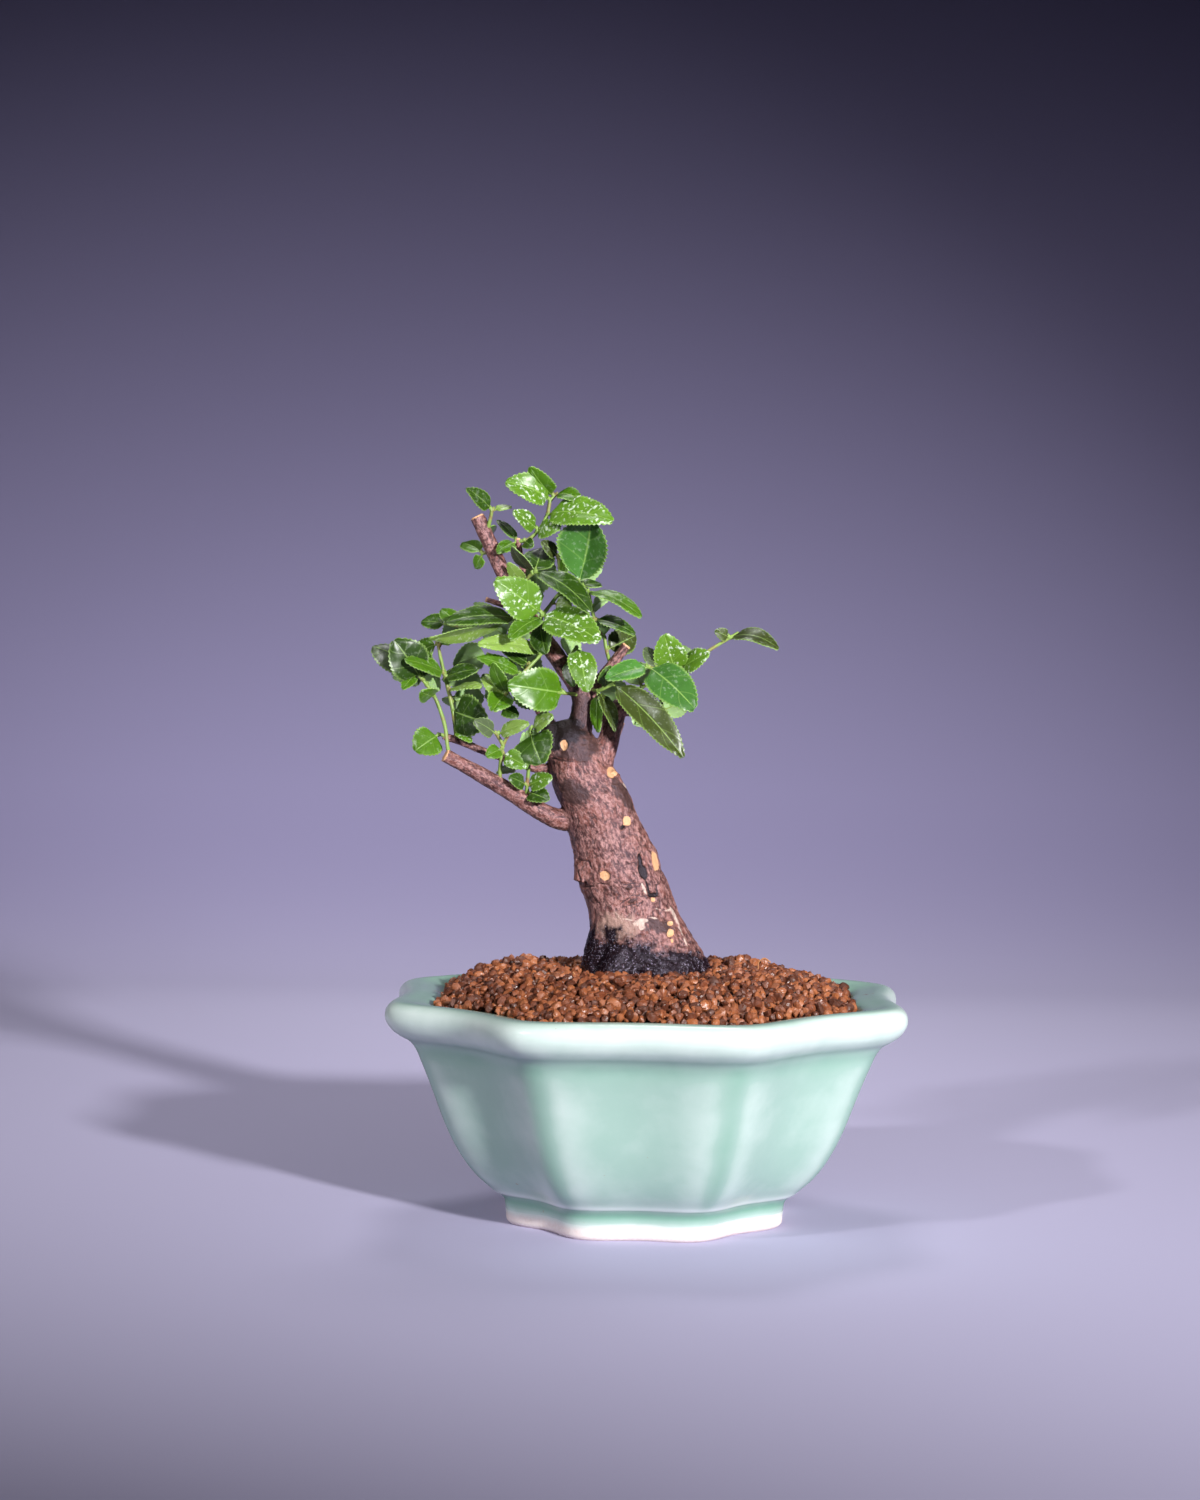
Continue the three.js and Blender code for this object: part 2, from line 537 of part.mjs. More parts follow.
      leaf([-22.6, -6, 171.6], [-18.6, -13, 156.6], 8.6, 20, 14, 0.08),
      leaf([-24, -4.2, 166], [-22.6, -6.4, 158], 5, -20, 10, 0.05),
      leaf([-25, -2.4, 167], [-22, 8, 173], 8.4, 30, 10, 0.05, -1),
    ],
  },
  shoot_twiglet: {
    stems: [
      [[-11.8, 1, 164.8], [-13, 2.2, 168.6], [-13.8, 3, 173]],
    ],
    leaves: [
      leaf([-13, 2.4, 169], [-4.4, 9, 173.4], 8.2, 6, 12, 0.06),
      leaf([-13.8, 1.4, 172.6], [-17.2, 8, 178], 7.2, 20, 12, 0.06, -1),
    ],
  },
  shoot_inner: {
    stems: [
      [[-17.2, -1.6, 157.4], [-15.4, -5, 157], [-10.9, -7.2, 159.1]],
    ],
    leaves: [
      leaf([-10.9, -7.2, 159.1], [10.1, -18, 137.9], 9.6, 22, 26, 0.1),
      leaf([-15.8, -5.4, 156.4], [-10, -10, 145.2], 5.8, 50, 14, 0.05),
      leaf([-16.2, -5, 156.4], [-15.2, -7, 144.6], 5, -40, 8, 0.04),
      leaf([-14.2, -6, 158.4], [-12, -9, 164.6], 5.4, 20, 10, 0.05),
    ],
  },
  shoot_right: {
    stems: [
      [[-0.9, 4, 151], [2, 3, 156], [5, 1.4, 160], [9.2, 0, 163.4], [18, 0, 169.6], [26.2, 0, 174.6]],
      [[5, 1.4, 160], [2.6, -3, 163], [-0.6, -6, 164.2]],
    ],
    leaves: [
      leaf([-0.8, -7, 164.2], [13.2, -17, 152.2], 12.4, 24, 12, 0.08),
      leaf([-1.4, -6.4, 164], [-13.2, -12, 160.4], 7.8, 40, 12, 0.06),
      leaf([1.8, -3, 163.8], [-1.6, 0, 170], 5, 30, 10, 0.05),
      leaf([7.1, -0.4, 163], [4, -5, 174], 9.8, -10, 12, 0.08),
      leaf([7.9, -1, 164.8], [17.3, -8, 168.5], 7.4, 40, 10, 0.06),
      leaf([23, -0.8, 173.9], [37.9, -6, 169.9], 8, 56, 14, 0.16),
      leaf([23.6, -0.8, 173], [19.1, -3, 175], 3.8, 20, 8, 0.05),
      leaf([8.4, 0.8, 163.4], [9.6, 11, 170], 9, 30, 12, 0.08, -1),
      leaf([3, 3.4, 157.6], [7.8, 13, 158.9], 9, 20, 12, 0.08, -1),
    ],
  },
  shoot_back_low: {
    stems: [
      [[-9.2, 24.8, 146], [-7, 26.6, 152], [-3, 27, 157], [2, 26, 160]],
      [[-7, 26.6, 152], [-2, 29, 152], [4, 29, 150]],
    ],
    leaves: [
      leaf([2, 26, 160], [10, 22, 162], 9, 30, 12, 0.08, -1),
      leaf([-2.6, 27, 157.4], [-6, 22, 166], 9, 20, 12, 0.08, -1),
      leaf([-6.6, 26.6, 153], [-15.4, 27, 158], 9, 30, 12, 0.08, -1),
      leaf([4, 29, 150], [8, 33, 155.1], 9, 30, 12, 0.08, -1),
      leaf([3.4, 29, 150.4], [12, 27, 153.4], 9, 24, 12, 0.08, -1),
      leaf([-2.6, 29, 152], [-4.4, 35, 145.6], 8, 30, 12, 0.08, -1),
      leaf([-8.4, 25.8, 149.6], [-16, 31, 146.4], 8, 20, 12, 0.08, -1),
    ],
  },
  shoot_back_high: {
    stems: [
      [[-37.8, 19.8, 159.4], [-41, 21, 165], [-43, 20, 172], [-41, 17, 180], [-37, 14, 186]],
      [[-41, 21, 165], [-49, 20, 167]],
    ],
    leaves: [
      leaf([-37.6, 14.2, 185.2], [-30, 9, 196], 10, 20, 12, 0.08, -1),
      leaf([-38.4, 15.6, 183.6], [-45.6, 17, 192], 10, 20, 12, 0.08, -1),
      leaf([-41.6, 18.4, 177], [-32, 21, 174], 10, 30, 12, 0.08, -1),
      leaf([-43.2, 20, 172], [-53, 19, 178], 10, 24, 12, 0.08, -1),
      leaf([-49.4, 20, 167], [-60, 18, 164], 10, 30, 12, 0.08, -1),
      leaf([-42, 21.4, 166.4], [-34, 26, 161], 10, 30, 12, 0.08, -1),
      leaf([-40.4, 21, 163.8], [-47.6, 24, 156], 9, 30, 12, 0.08, -1),
    ],
  },
};

function nearestOnStems(stems, place) {
  let best = null;
  for (const stem of stems) {
    for (let i = 0; i < stem.length - 1; i += 1) {
      const line = new THREE.Line3(vector(stem[i]), vector(stem[i + 1]));
      const near = line.closestPointToPoint(place, true, new THREE.Vector3());
      if (best === null || near.distanceTo(place) < best.distanceTo(place)) {
        best = near;
      }
    }
  }
  return best;
}

// The blade as two equal faces a blade's thickness apart, with a wall round the teeth.
function blade(stems, { start: spot, tip, width, roll, fold, bow, facing, shoulder }, grow) {
  const base = nearestOnStems(stems, spot);
  const along = tip.clone().sub(base);
  const length = along.length();
  along.normalize();
  const viewer = new THREE.Vector3(0, -facing, 0);
  const plain = viewer.addScaledVector(along, -viewer.dot(along)).normalize();
  const skyward = along.clone().cross(plain);
  const lead = Math.abs(skyward.z) > 0.3 ? skyward.z : skyward.x;
  skyward.multiplyScalar(Math.sign(lead));
  const face = plain.multiplyScalar(Math.cos(degrees(roll)))
    .addScaledVector(skyward, Math.sin(degrees(roll)));
  const side = along.clone().cross(face);
  const teeth = 2 + (length > SHORT_LEAF) + (length > LONG_LEAF);
  const rise = Math.tan(degrees(fold));
  const place = (u, v) => {
    const half = (width / 2) * Math.sin(Math.PI * u ** shoulder) ** LEAF_SLIMNESS + grow;
    return base.clone()
      .addScaledVector(along, u * (length + grow))
      .addScaledVector(face, bow * length * (1 - (2 * u - 1) ** 2) + Math.abs(v) * half * rise)
      .addScaledVector(side, v * half);
  };
  const neck = NECK_LENGTH / length;
  const beside = (v) => base.clone()
    .addScaledVector(along, NECK_LENGTH)
    .addScaledVector(side, v * (NECK_HALF_WIDTH + grow));
  const middle = [base.clone(), beside(0)];
  const edges = { left: [beside(1)], right: [beside(-1)] };
  for (let k = 1; k <= teeth; k += 1) {
    const tooth = neck + (1 - neck) * ((k - 0.4) / teeth);
    const notch = neck + (1 - neck) * (k / teeth);
    edges.left.push(place(tooth, TOOTH_OUT));
    edges.right.push(place(tooth, -TOOTH_OUT));
    if (k < teeth) {
      edges.left.push(place(notch, TOOTH_IN));
      edges.right.push(place(notch, -TOOTH_IN));
      middle.push(place(notch, 0));
    }
  }
  middle.push(place(1, 0));
  const points = [...middle, ...edges.left, ...edges.right];
  const offset = points.length;
  const first = { left: middle.length, right: middle.length + edges.left.length };
  const front = [];
  for (const start of [first.left, first.right]) {
    const wedges = [[0, start, 1]];
    for (let k = 1; k <= teeth; k += 1) {
      const tooth = start + 2 * k - 1;
      const notch = k < teeth ? [tooth + 1] : [];
      const fan = [tooth - 1, tooth, ...notch, k + 1];
      for (let i = 0; i < fan.length - 1; i += 1) {
        wedges.push([k, fan[i], fan[i + 1]]);
      }
    }
    front.push(...(start === first.left ? wedges : wedges.map(([a, b, c]) => [a, c, b])));
  }
  const thickness = BLADE_THICKNESS / 2 + grow;
  const top = points.map((p) => p.clone().addScaledVector(face, thickness));
  const under = points.map((p) => p.clone().addScaledVector(face, -thickness));
  const triangles = [...front];
  for (const [a, b, c] of front) {
    triangles.push([offset + a, offset + c, offset + b]);
  }
  const rim = [0, ...edges.left.map((_, i) => first.left + i), teeth + 1,
    ...edges.right.map((_, i) => first.right + i).reverse()];
  rim.forEach((a, i) => {
    const b = rim[(i + 1) % rim.length];
    triangles.push([b, a, offset + a], [b, offset + a, offset + b]);
  });
  return solid([...top, ...under], triangles);
}

function shoot({ stems, leaves }, grow = 0) {
  const green = stems.map((stem) => {
    const knots = stem.map((p, i) => [...p, SHOOT_RADIUS * (1 - 0.2 * (i / stem.length))]);
    return tube(knots, 4, { grow });
  });
  const foliage = leaves.map((one) => blade(stems, one, grow));
  return join([...green, ...foliage]);
}

const CELADON = new THREE.MeshStandardMaterial({ color: '#bcd6cb', roughness: 0.16, metalness: 0 });
const AKADAMA = new THREE.MeshStandardMaterial({ color: '#7a4326', roughness: 0.6, metalness: 0 });
const BARK = new THREE.MeshStandardMaterial({ color: '#5a4540', roughness: 0.7, metalness: 0 });
const LEAF = new THREE.MeshStandardMaterial({ color: '#5f8a3c', roughness: 0.35, metalness: 0 });
const SCREEN = new THREE.MeshStandardMaterial({ color: '#26282a', roughness: 0.6, metalness: 0 });

const plant = new THREE.Group();
plant.add(toMesh('pot', pot(), CELADON));
plant.add(toMesh('drain_screen', drainScreen(), SCREEN));
plant.add(toMesh('soil', soil(wood(GAP)), AKADAMA));
plant.add(toMesh('trunk', wood(0), BARK));

// Each shoot is kept clear of the wood and of the shoots before it.
let taken = wood(GAP);
for (const [name, spray] of Object.entries(SHOOTS)) {
  const body = mainBody(shoot(spray).subtract(taken));
  plant.add(toMesh(name, body, LEAF));
  taken = taken.add(shoot(spray, GAP));
}

// The origin lies under the middle of the whole plant, on the resting plane.
const reach = new THREE.Box3().setFromObject(plant);
const middle = reach.getCenter(new THREE.Vector3());
plant.position.set(-middle.x, -middle.y, 0);
plant.updateMatrixWorld(true);

export default plant;
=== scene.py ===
"""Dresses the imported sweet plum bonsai: its glazed pot, clay granules, bark and leaves.

Lengths are millimetres from the pot's axis at the plane that its foot stands on, with +Z up
and the viewer at -Y. A mesh is written in metres in the frame's own coordinates.
"""

import itertools
import logging
import math
from dataclasses import dataclass, field
from enum import Enum
from typing import Any

import bmesh
import bpy
import numpy as np
from mathutils import Matrix, Vector


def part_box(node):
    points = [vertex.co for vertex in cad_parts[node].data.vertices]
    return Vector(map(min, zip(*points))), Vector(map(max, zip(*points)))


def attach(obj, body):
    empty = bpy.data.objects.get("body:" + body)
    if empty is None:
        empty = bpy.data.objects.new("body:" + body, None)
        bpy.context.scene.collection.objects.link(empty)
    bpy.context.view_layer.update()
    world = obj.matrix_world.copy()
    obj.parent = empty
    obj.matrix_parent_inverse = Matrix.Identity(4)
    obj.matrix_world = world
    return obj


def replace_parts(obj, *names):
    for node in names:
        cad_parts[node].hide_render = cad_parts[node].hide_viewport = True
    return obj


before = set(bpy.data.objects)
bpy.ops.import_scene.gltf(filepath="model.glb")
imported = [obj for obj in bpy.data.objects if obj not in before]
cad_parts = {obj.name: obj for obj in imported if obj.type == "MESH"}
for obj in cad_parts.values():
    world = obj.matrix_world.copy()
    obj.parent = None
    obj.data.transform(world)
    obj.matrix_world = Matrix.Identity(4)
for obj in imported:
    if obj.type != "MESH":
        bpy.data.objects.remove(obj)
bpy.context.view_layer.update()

log = logging.getLogger("bonsai")

METRES = 0.001  # in a millimetre
SCREEN_LOW, SCREEN_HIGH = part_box("drain_screen")
POT_AXIS = (SCREEN_LOW + SCREEN_HIGH) / 2  # the round drain screen lies about it
POT_TURNING = math.radians(-0.3)  # of the whole pot about its axis, seen from above

TIP_ROW = 0.992  # where a leaf's last row lies, as a share of its length

# Sockets of the colour mix node.
MIX_FACTOR, MIX_A, MIX_B, MIX_RESULT = 0, 6, 7, 2

Socket = bpy.types.NodeSocket
Knot = tuple[float, float, float, float]
Place = tuple[float, float, float]


def linear(colour: str) -> tuple[float, float, float, float]:
    """Turns a colour from sRGB to linear light.

    Args:
        colour: six hex digits after a hash.

    Returns:
        Red, green, blue and an alpha of 1.
    """
    parts = [int(colour[i : i + 2], 16) / 255 for i in (1, 3, 5)]
    red, green, blue = (
        c / 12.92 if c <= 0.04045 else ((c + 0.055) / 1.055) ** 2.4 for c in parts
    )
    return red, green, blue, 1.0


def feed(tree: bpy.types.NodeTree, node: bpy.types.Node, inputs: dict[Any, Any]) -> None:
    """Gives a node its inputs.

    Args:
        tree: the node tree of the material.
        node: the node that takes them.
        inputs: for a socket's name or place, its value or another node's output.
    """
    for socket, value in inputs.items():
        if isinstance(value, Socket):
            tree.links.new(value, node.inputs[socket])
        else:
            node.inputs[socket].default_value = value


def add_node(
    tree: bpy.types.NodeTree, kind: str, inputs: dict[Any, Any] | None = None, **settings: Any
) -> bpy.types.Node:
    """Adds a node with its settings and inputs.

    Args:
        tree: the node tree of the material.
        kind: the node's type.
        inputs: for a socket's name or place, its value or another node's output.
        **settings: the node's own properties.

    Returns:
        The new node.
    """
    node = tree.nodes.new(kind)
    for name, value in settings.items():
        setattr(node, name, value)
    feed(tree, node, inputs or {})
    return node


def pattern(pitch: float) -> float:
    """The scale of a texture whose features lie pitch millimetres apart."""
    return 1 / (pitch * METRES)


class Recipe:
    """A material in the making: one Principled shader and the nodes that feed it.

    A shade is six hex digits after a hash, or a node's output.
    """

    def __init__(self, name: str) -> None:
        """Starts the material.

        Args:
            name: the real material and how its surface was made.
        """
        self.material = bpy.data.materials.new(name)
        self.material.use_nodes = True
        self.tree = self.material.node_tree
        self.place = add_node(self.tree, "ShaderNodeTexCoord").outputs["Object"]

    def carried(self, name: str, output: str = "Fac") -> Socket:
        """Reads a value that the mesh carries on its points."""
        return add_node(self.tree, "ShaderNodeAttribute", attribute_name=name).outputs[output]

    def axis(self, name: str) -> Socket:
        """Reads how far a point lies along one axis of the frame, in metres."""
        return add_node(self.tree, "ShaderNodeSeparateXYZ", {0: self.place}).outputs[name]

    def noise(
        self, pitch: float, detail: float, place: Socket | None = None, raggedness: float = 0.5
    ) -> Socket:
        """Makes soft noise.

        Args:
            pitch: how far apart its features lie, in millimetres.
            detail: how many finer layers it has.
            place: where it is read, or none for the place in the frame.
            raggedness: how much each finer layer counts.

        Returns:
            A value from 0 to 1, mostly near 0.5.
        """
        inputs = {
            "Vector": self.place if place is None else place,
            "Scale": pattern(pitch),
            "Detail": detail,
            "Roughness": raggedness,
        }
        return add_node(self.tree, "ShaderNodeTexNoise", inputs).outputs["Fac"]

    def work(self, operation: str, first: Socket, second: Socket | float = 0.0) -> Socket:
        """Does one step of arithmetic with one value or two."""
        inputs = {0: first, 1: second}
        return add_node(self.tree, "ShaderNodeMath", inputs, operation=operation).outputs[0]

    def add_share(self, value: Socket, share: float, other: Socket) -> Socket:
        """Adds a share of one value to another."""
        inputs = {0: value, 1: share, 2: other}
        return add_node(self.tree, "ShaderNodeMath", inputs, operation="MULTIPLY_ADD").outputs[0]

    def run(
        self,
        value: Socket,
        low: float,
        high: float,
        least: float = 0.0,
        most: float = 1.0,
        eased: bool = False,
    ) -> Socket:
        """Runs from one number to another as a value rises.

        Args:
            value: the value that rises.
            low: where the run starts.
            high: where it ends.
            least: the number at the start.
            most: the number at the end.
            eased: whether the run starts and ends gently.

        Returns:
            The number that it has reached.
        """
        inputs = {
            "Value": value,
            "From Min": low,
            "From Max": high,
            "To Min": least,
            "To Max": most,
        }
        course = "SMOOTHSTEP" if eased else "LINEAR"
        node = add_node(self.tree, "ShaderNodeMapRange", inputs, interpolation_type=course)
        return node.outputs["Result"]

    def mix(self, factor: Socket, start: Socket | str, end: Socket | str) -> Socket:
        """Goes from one shade to another.

        Args:
            factor: how far it has gone, from 0 to 1.
            start: the first shade.
            end: the last one.

        Returns:
            The shade between them.
        """
        ends = [linear(shade) if isinstance(shade, str) else shade for shade in (start, end)]
        inputs = {MIX_FACTOR: factor, MIX_A: ends[0], MIX_B: ends[1]}
        return add_node(self.tree, "ShaderNodeMix", inputs, data_type="RGBA").outputs[MIX_RESULT]

    def bump(self, height: Socket, strength: float, depth: float) -> Socket:
        """Raises a low relief, as many millimetres deep as depth says."""
        inputs = {"Height": height, "Strength": strength, "Distance": depth * METRES}
        return add_node(self.tree, "ShaderNodeBump", inputs).outputs["Normal"]

    def finish(self, inputs: dict[str, Any]) -> bpy.types.Material:
        """Feeds the shader.

        Args:
            inputs: for a socket's name, its value or a node's output.

        Returns:
            The finished material.
        """
        feed(self.tree, self.tree.nodes["Principled BSDF"], inputs)
        return self.material


def to_frame(points: np.ndarray) -> np.ndarray:
    """Moves points from the pot's axis to the frame, in metres."""
    axis = (POT_AXIS[0], POT_AXIS[1], 0.0)
    return points * METRES + np.array(axis)


def grain(points: np.ndarray, pitch: float, seed: int = 0) -> np.ndarray:
    """Smooth repeatable noise in space.

    Args:
        points: places in millimetres, one a row.
        pitch: the distance between bumps, in millimetres.
        seed: which noise.

    Returns:
        A value from -1 to 1 for each point.
    """
    scaled = points / pitch + seed * 7.31
    cell = np.floor(scaled).astype(np.int64)
    share = scaled - cell
    share = share * share * (3 - 2 * share)
    total = np.zeros(len(points))
    for corner in itertools.product((0, 1), repeat=3):
        place = cell + np.array(corner)
        mixed = place[:, 0] * 73856093 ^ place[:, 1] * 19349663 ^ place[:, 2] * 83492791
        mixed = (mixed * 2654435761 + seed * 40503) & 0xFFFFFFFF
        mixed = ((mixed ^ (mixed >> 15)) * 2246822519) & 0xFFFFFFFF
        value = ((mixed ^ (mixed >> 13)) & 0xFFFF) / 32767.5 - 1
        weight = np.prod(np.where(np.array(corner) == 1, share, 1 - share), axis=1)
        total += weight * value
    return total


def unit(vectors: np.ndarray) -> np.ndarray:
    """Scales vectors, one a row, to a length of 1."""
    return vectors / np.maximum(np.linalg.norm(vectors, axis=-1, keepdims=True), 1e-9)


def smooth_line(knots: np.ndarray, steps: int) -> np.ndarray:
    """Runs a smooth line through knots.

    Args:
        knots: one knot a row, with any values that follow its place.
        steps: points for each span between knots.

    Returns:
        The points of the line, with the values smoothed in the same way.
    """
    gaps = np.maximum(np.linalg.norm(np.diff(knots[:, :3], axis=0), axis=1), 1e-6)
    slopes = np.diff(knots, axis=0) / gaps[:, None]
    before, after = gaps[:-1, None], gaps[1:, None]
    inner = (slopes[:-1] * after + slopes[1:] * before) / (before + after)
    tangents = np.vstack([slopes[:1], inner, slopes[-1:]])
    line = []
    for i, gap in enumerate(gaps):
        t = np.linspace(0, 1, steps, endpoint=False)[:, None]
        line.append(
            (2 * t**3 - 3 * t**2 + 1) * knots[i]
            + (t**3 - 2 * t**2 + t) * gap * tangents[i]
            + (3 * t**2 - 2 * t**3) * knots[i + 1]
            + (t**3 - t**2) * gap * tangents[i + 1]
        )
    return np.vstack([*line, knots[-1:]])


def lattice(rows: int, columns: int, closed: bool = False) -> np.ndarray:
    """Four-sided faces over a grid of points.

    Args:
        rows: rows of points.
        columns: points in a row.
        closed: whether each row joins its own start.

    Returns:
        The corners of each face, as places in the row-by-row list of points.
    """
    spans = columns if closed else columns - 1
    row, column = np.meshgrid(np.arange(rows - 1), np.arange(spans), indexing="ij")
    here = (row * columns + column).ravel()
    beside = (row * columns + (column + 1) % columns).ravel()
    return np.stack([here, beside, beside + columns, here + columns], axis=1)


@dataclass
class Skin:
    """The growing mesh of one piece, with values that its points carry."""

    points: list[np.ndarray] = field(default_factory=list)
    faces: list[tuple[np.ndarray, int]] = field(default_factory=list)
    values: dict[str, list[np.ndarray]] = field(default_factory=dict)
    count: int = 0

    def add(
        self, points: np.ndarray, faces: list[np.ndarray], finish: int = 0, **values: Any
    ) -> None:
        """Adds a part.

        Args:
            points: its points, in millimetres from the pot's axis.
            faces: arrays of corners, each array with faces of one kind.
            finish: which of the piece's materials it takes.
            **values: a number or colour for each point, or one for them all.
        """
        self.points.append(points)
        for block in faces:
            self.faces.append((np.asarray(block) + self.count, finish))
        for name, value in values.items():
            array = np.asarray(value, float)
            one_colour = array.shape == (4,)
            if array.ndim == 0 or one_colour:
                array = np.broadcast_to(array, (len(points), *array.shape))
            self.values.setdefault(name, []).append(array)
        self.count += len(points)

    def tube(self, line: np.ndarray, sides: int, finish: int = 0, **values: Any) -> None:
        """Adds a closed round tube.

        Args:
            line: its places and radii, one a row.
            sides: points round it.
            finish: which of the piece's materials it takes.
            **values: as for any part.
        """
        rings = tube_rings(line, sides)
        caps = np.stack([line[0, :3], line[-1, :3]])
        points = np.vstack([rings.reshape(-1, 3), caps])
        start, end = len(points) - 2, len(points) - 1
        turn = np.arange(sides)
        last = (len(line) - 1) * sides
        first_cap = np.stack([turn, np.full(sides, start), (turn + 1) % sides], axis=1)
        last_cap = np.stack([last + turn, last + (turn + 1) % sides, np.full(sides, end)], axis=1)
        self.add(points, [lattice(len(line), sides, True), first_cap, last_cap], finish, **values)

    def piece(
        self, name: str, slot: str, materials: list[bpy.types.Material], crease: float = 50
    ) -> bpy.types.Object:
        """Makes the piece in the scene.

        Args:
            name: the piece's name.
            slot: the material slot of the record; not used.
            materials: its materials, in the order that the parts count them.
            crease: degrees between faces from which an edge is sharp.

        Returns:
            The piece, riding on the part.
        """
        mesh = bpy.data.meshes.new(name)
        points = to_frame(np.vstack(self.points))
        corners = np.concatenate([block.ravel() for block, _ in self.faces])
        sizes = np.concatenate([np.full(len(b), b.shape[1]) for b, _ in self.faces])
        finishes = np.concatenate([np.full(len(b), finish) for b, finish in self.faces])
        mesh.vertices.add(len(points))
        mesh.vertices.foreach_set("co", points.astype(np.float32).ravel())
        mesh.loops.add(len(corners))
        mesh.loops.foreach_set("vertex_index", corners.astype(np.int32))
        mesh.polygons.add(len(sizes))
        starts = np.concatenate([[0], np.cumsum(sizes)[:-1]])
        mesh.polygons.foreach_set("loop_start", starts.astype(np.int32))
        for material in materials:
            mesh.materials.append(material)
        mesh.polygons.foreach_set("material_index", finishes.astype(np.int32))
        mesh.polygons.foreach_set("use_smooth", np.ones(len(sizes), bool))
        mesh.update(calc_edges=True)
        mesh.validate()
        mesh.set_sharp_from_angle(angle=math.radians(crease))
        for value_name, blocks in self.values.items():
            carry(mesh, value_name, np.concatenate(blocks))
        return settle(bpy.data.objects.new(name, mesh))


def carry(mesh: bpy.types.Mesh, name: str, values: np.ndarray) -> None:
    """Stores a number, a place or a colour on each point of a mesh.

    Args:
        mesh: the mesh.
        name: what the values are called.
        values: one number for each point, or one row of 3 or 4 numbers.
    """
    width = 1 if values.ndim == 1 else values.shape[1]
    kind, field_name = {
        1: ("FLOAT", "value"),
        3: ("FLOAT_VECTOR", "vector"),
        4: ("FLOAT_COLOR", "color"),
    }[width]
    attribute = mesh.attributes.new(name, kind, "POINT")
    attribute.data.foreach_set(field_name, values.astype(np.float32).ravel())


def settle(piece: bpy.types.Object) -> bpy.types.Object:
    """Puts a new piece in the scene, on the part's body.

    Args:
        piece: the new object.

    Returns:
        The piece.
    """
    if piece.name not in bpy.context.scene.collection.objects:
        bpy.context.scene.collection.objects.link(piece)
    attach(piece, "root")
    log.info("%s: %d faces", piece.name, len(piece.data.polygons))
    return piece


def tube_rings(line: np.ndarray, sides: int) -> np.ndarray:
    """The rings of a round tube along a line, without twist.

    Args:
        line: its places and radii, one a row.
        sides: points round it.

    Returns:
        Points by ring, by turn and by coordinate.
    """
    along = unit(np.gradient(line[:, :3], axis=0))
    side = np.array([1.0, 0.0, 0.0])
    if abs(along[0] @ side) > 0.9:
        side = np.array([0.0, 1.0, 0.0])
    rings = []
    turn = np.linspace(0, 2 * math.pi, sides, endpoint=False)[:, None]
    for place, direction in zip(line, along):
        side = unit(side - direction * (side @ direction))
        across = np.cross(direction, side)
        rings.append(place[:3] + place[3] * (np.cos(turn) * side + np.sin(turn) * across))
    return np.array(rings)


@dataclass(frozen=True)
class CeladonGlaze:
    """Celadon-glazed stoneware: a green glass over white clay, dipped and fired.

    The glass is thin and whitish over the rim's roll and the corners, and pools green under
    the rim and above the foot. The foot's bottom is wiped bare.
    """

    thin: str = "#d3dfda"
    body: str = "#9ab7ab"
    pooled: str = "#77a28f"
    clay: str = "#efe6e3"
    gritty_clay: str = "#d9c6be"
    stain: str = "#9a5a2e"
    bare_height: float = 4.2
    drip: float = 2.4
    polish: float = 0.21
    bare_roughness: float = 0.78
    stains: tuple[tuple[Place, float], ...] = (
        ((-30.5, -27.5, 5.4), 2.6),
        ((-28.6, -29.0, 3.2), 1.8),
        ((-62.0, 6.0, 65.4), 4.2),
        ((-60.5, -3.0, 65.2), 3.0),
        ((66.5, 6.0, 65.6), 4.0),
        ((66.0, -6.0, 65.2), 2.6),
        ((-37.0, -31.5, 14.5), 1.3),
    )

    def material(self) -> bpy.types.Material:
        """Builds the glaze with its bare foot.

        Returns:
            The material of the pot.
        """
        recipe = Recipe("Celadon_glaze_on_stoneware_fired")
        clouded = recipe.add_share(recipe.noise(9, 3), 0.28, recipe.carried("pool"))
        thickness = recipe.work("SUBTRACT", clouded, 0.14)
        pale = recipe.mix(recipe.run(thickness, 0.0, 0.5), self.thin, self.body)
        glaze = recipe.mix(recipe.run(thickness, 0.5, 1.0), pale, self.pooled)
        edge = recipe.add_share(recipe.noise(11, 2), -self.drip * METRES, recipe.axis("Z"))
        wiped, glazed = self.bare_height - 2.6, self.bare_height - 0.4
        bare = recipe.run(edge, wiped * METRES, glazed * METRES, 1.0, 0.0)
        clay = recipe.mix(recipe.noise(0.9, 4), self.clay, self.gritty_clay)
        orange_peel = recipe.noise(2.6, 2)
        return recipe.finish(
            {
                "Base Color": self.stained(recipe, recipe.mix(bare, glaze, clay)),
                "Roughness": recipe.run(bare, 0.0, 1.0, self.polish, self.bare_roughness),
                "Normal": recipe.bump(orange_peel, 0.06, 0.3),
                "IOR": 1.5,
            }
        )

    def stained(self, recipe: Recipe, colour: Socket) -> Socket:
        """Lays the brown soil stains over the glaze.

        Args:
            recipe: the glaze in the making.
            colour: the colour under the stains.

        Returns:
            The colour with the stains.
        """
        specks = recipe.noise(1.3, 5)
        for place, reach in self.stains:
            ends = {0: recipe.place, 1: tuple(to_frame(np.array(place)))}
            away = add_node(recipe.tree, "ShaderNodeVectorMath", ends, operation="DISTANCE")
            near = recipe.run(away.outputs["Value"], 0.0, reach * METRES, 0.34, -0.1)
            mask = recipe.run(recipe.work("ADD", near, specks), 0.66, 0.86, 0.0, 0.8)
            colour = recipe.mix(mask, colour, self.stain)
        return colour


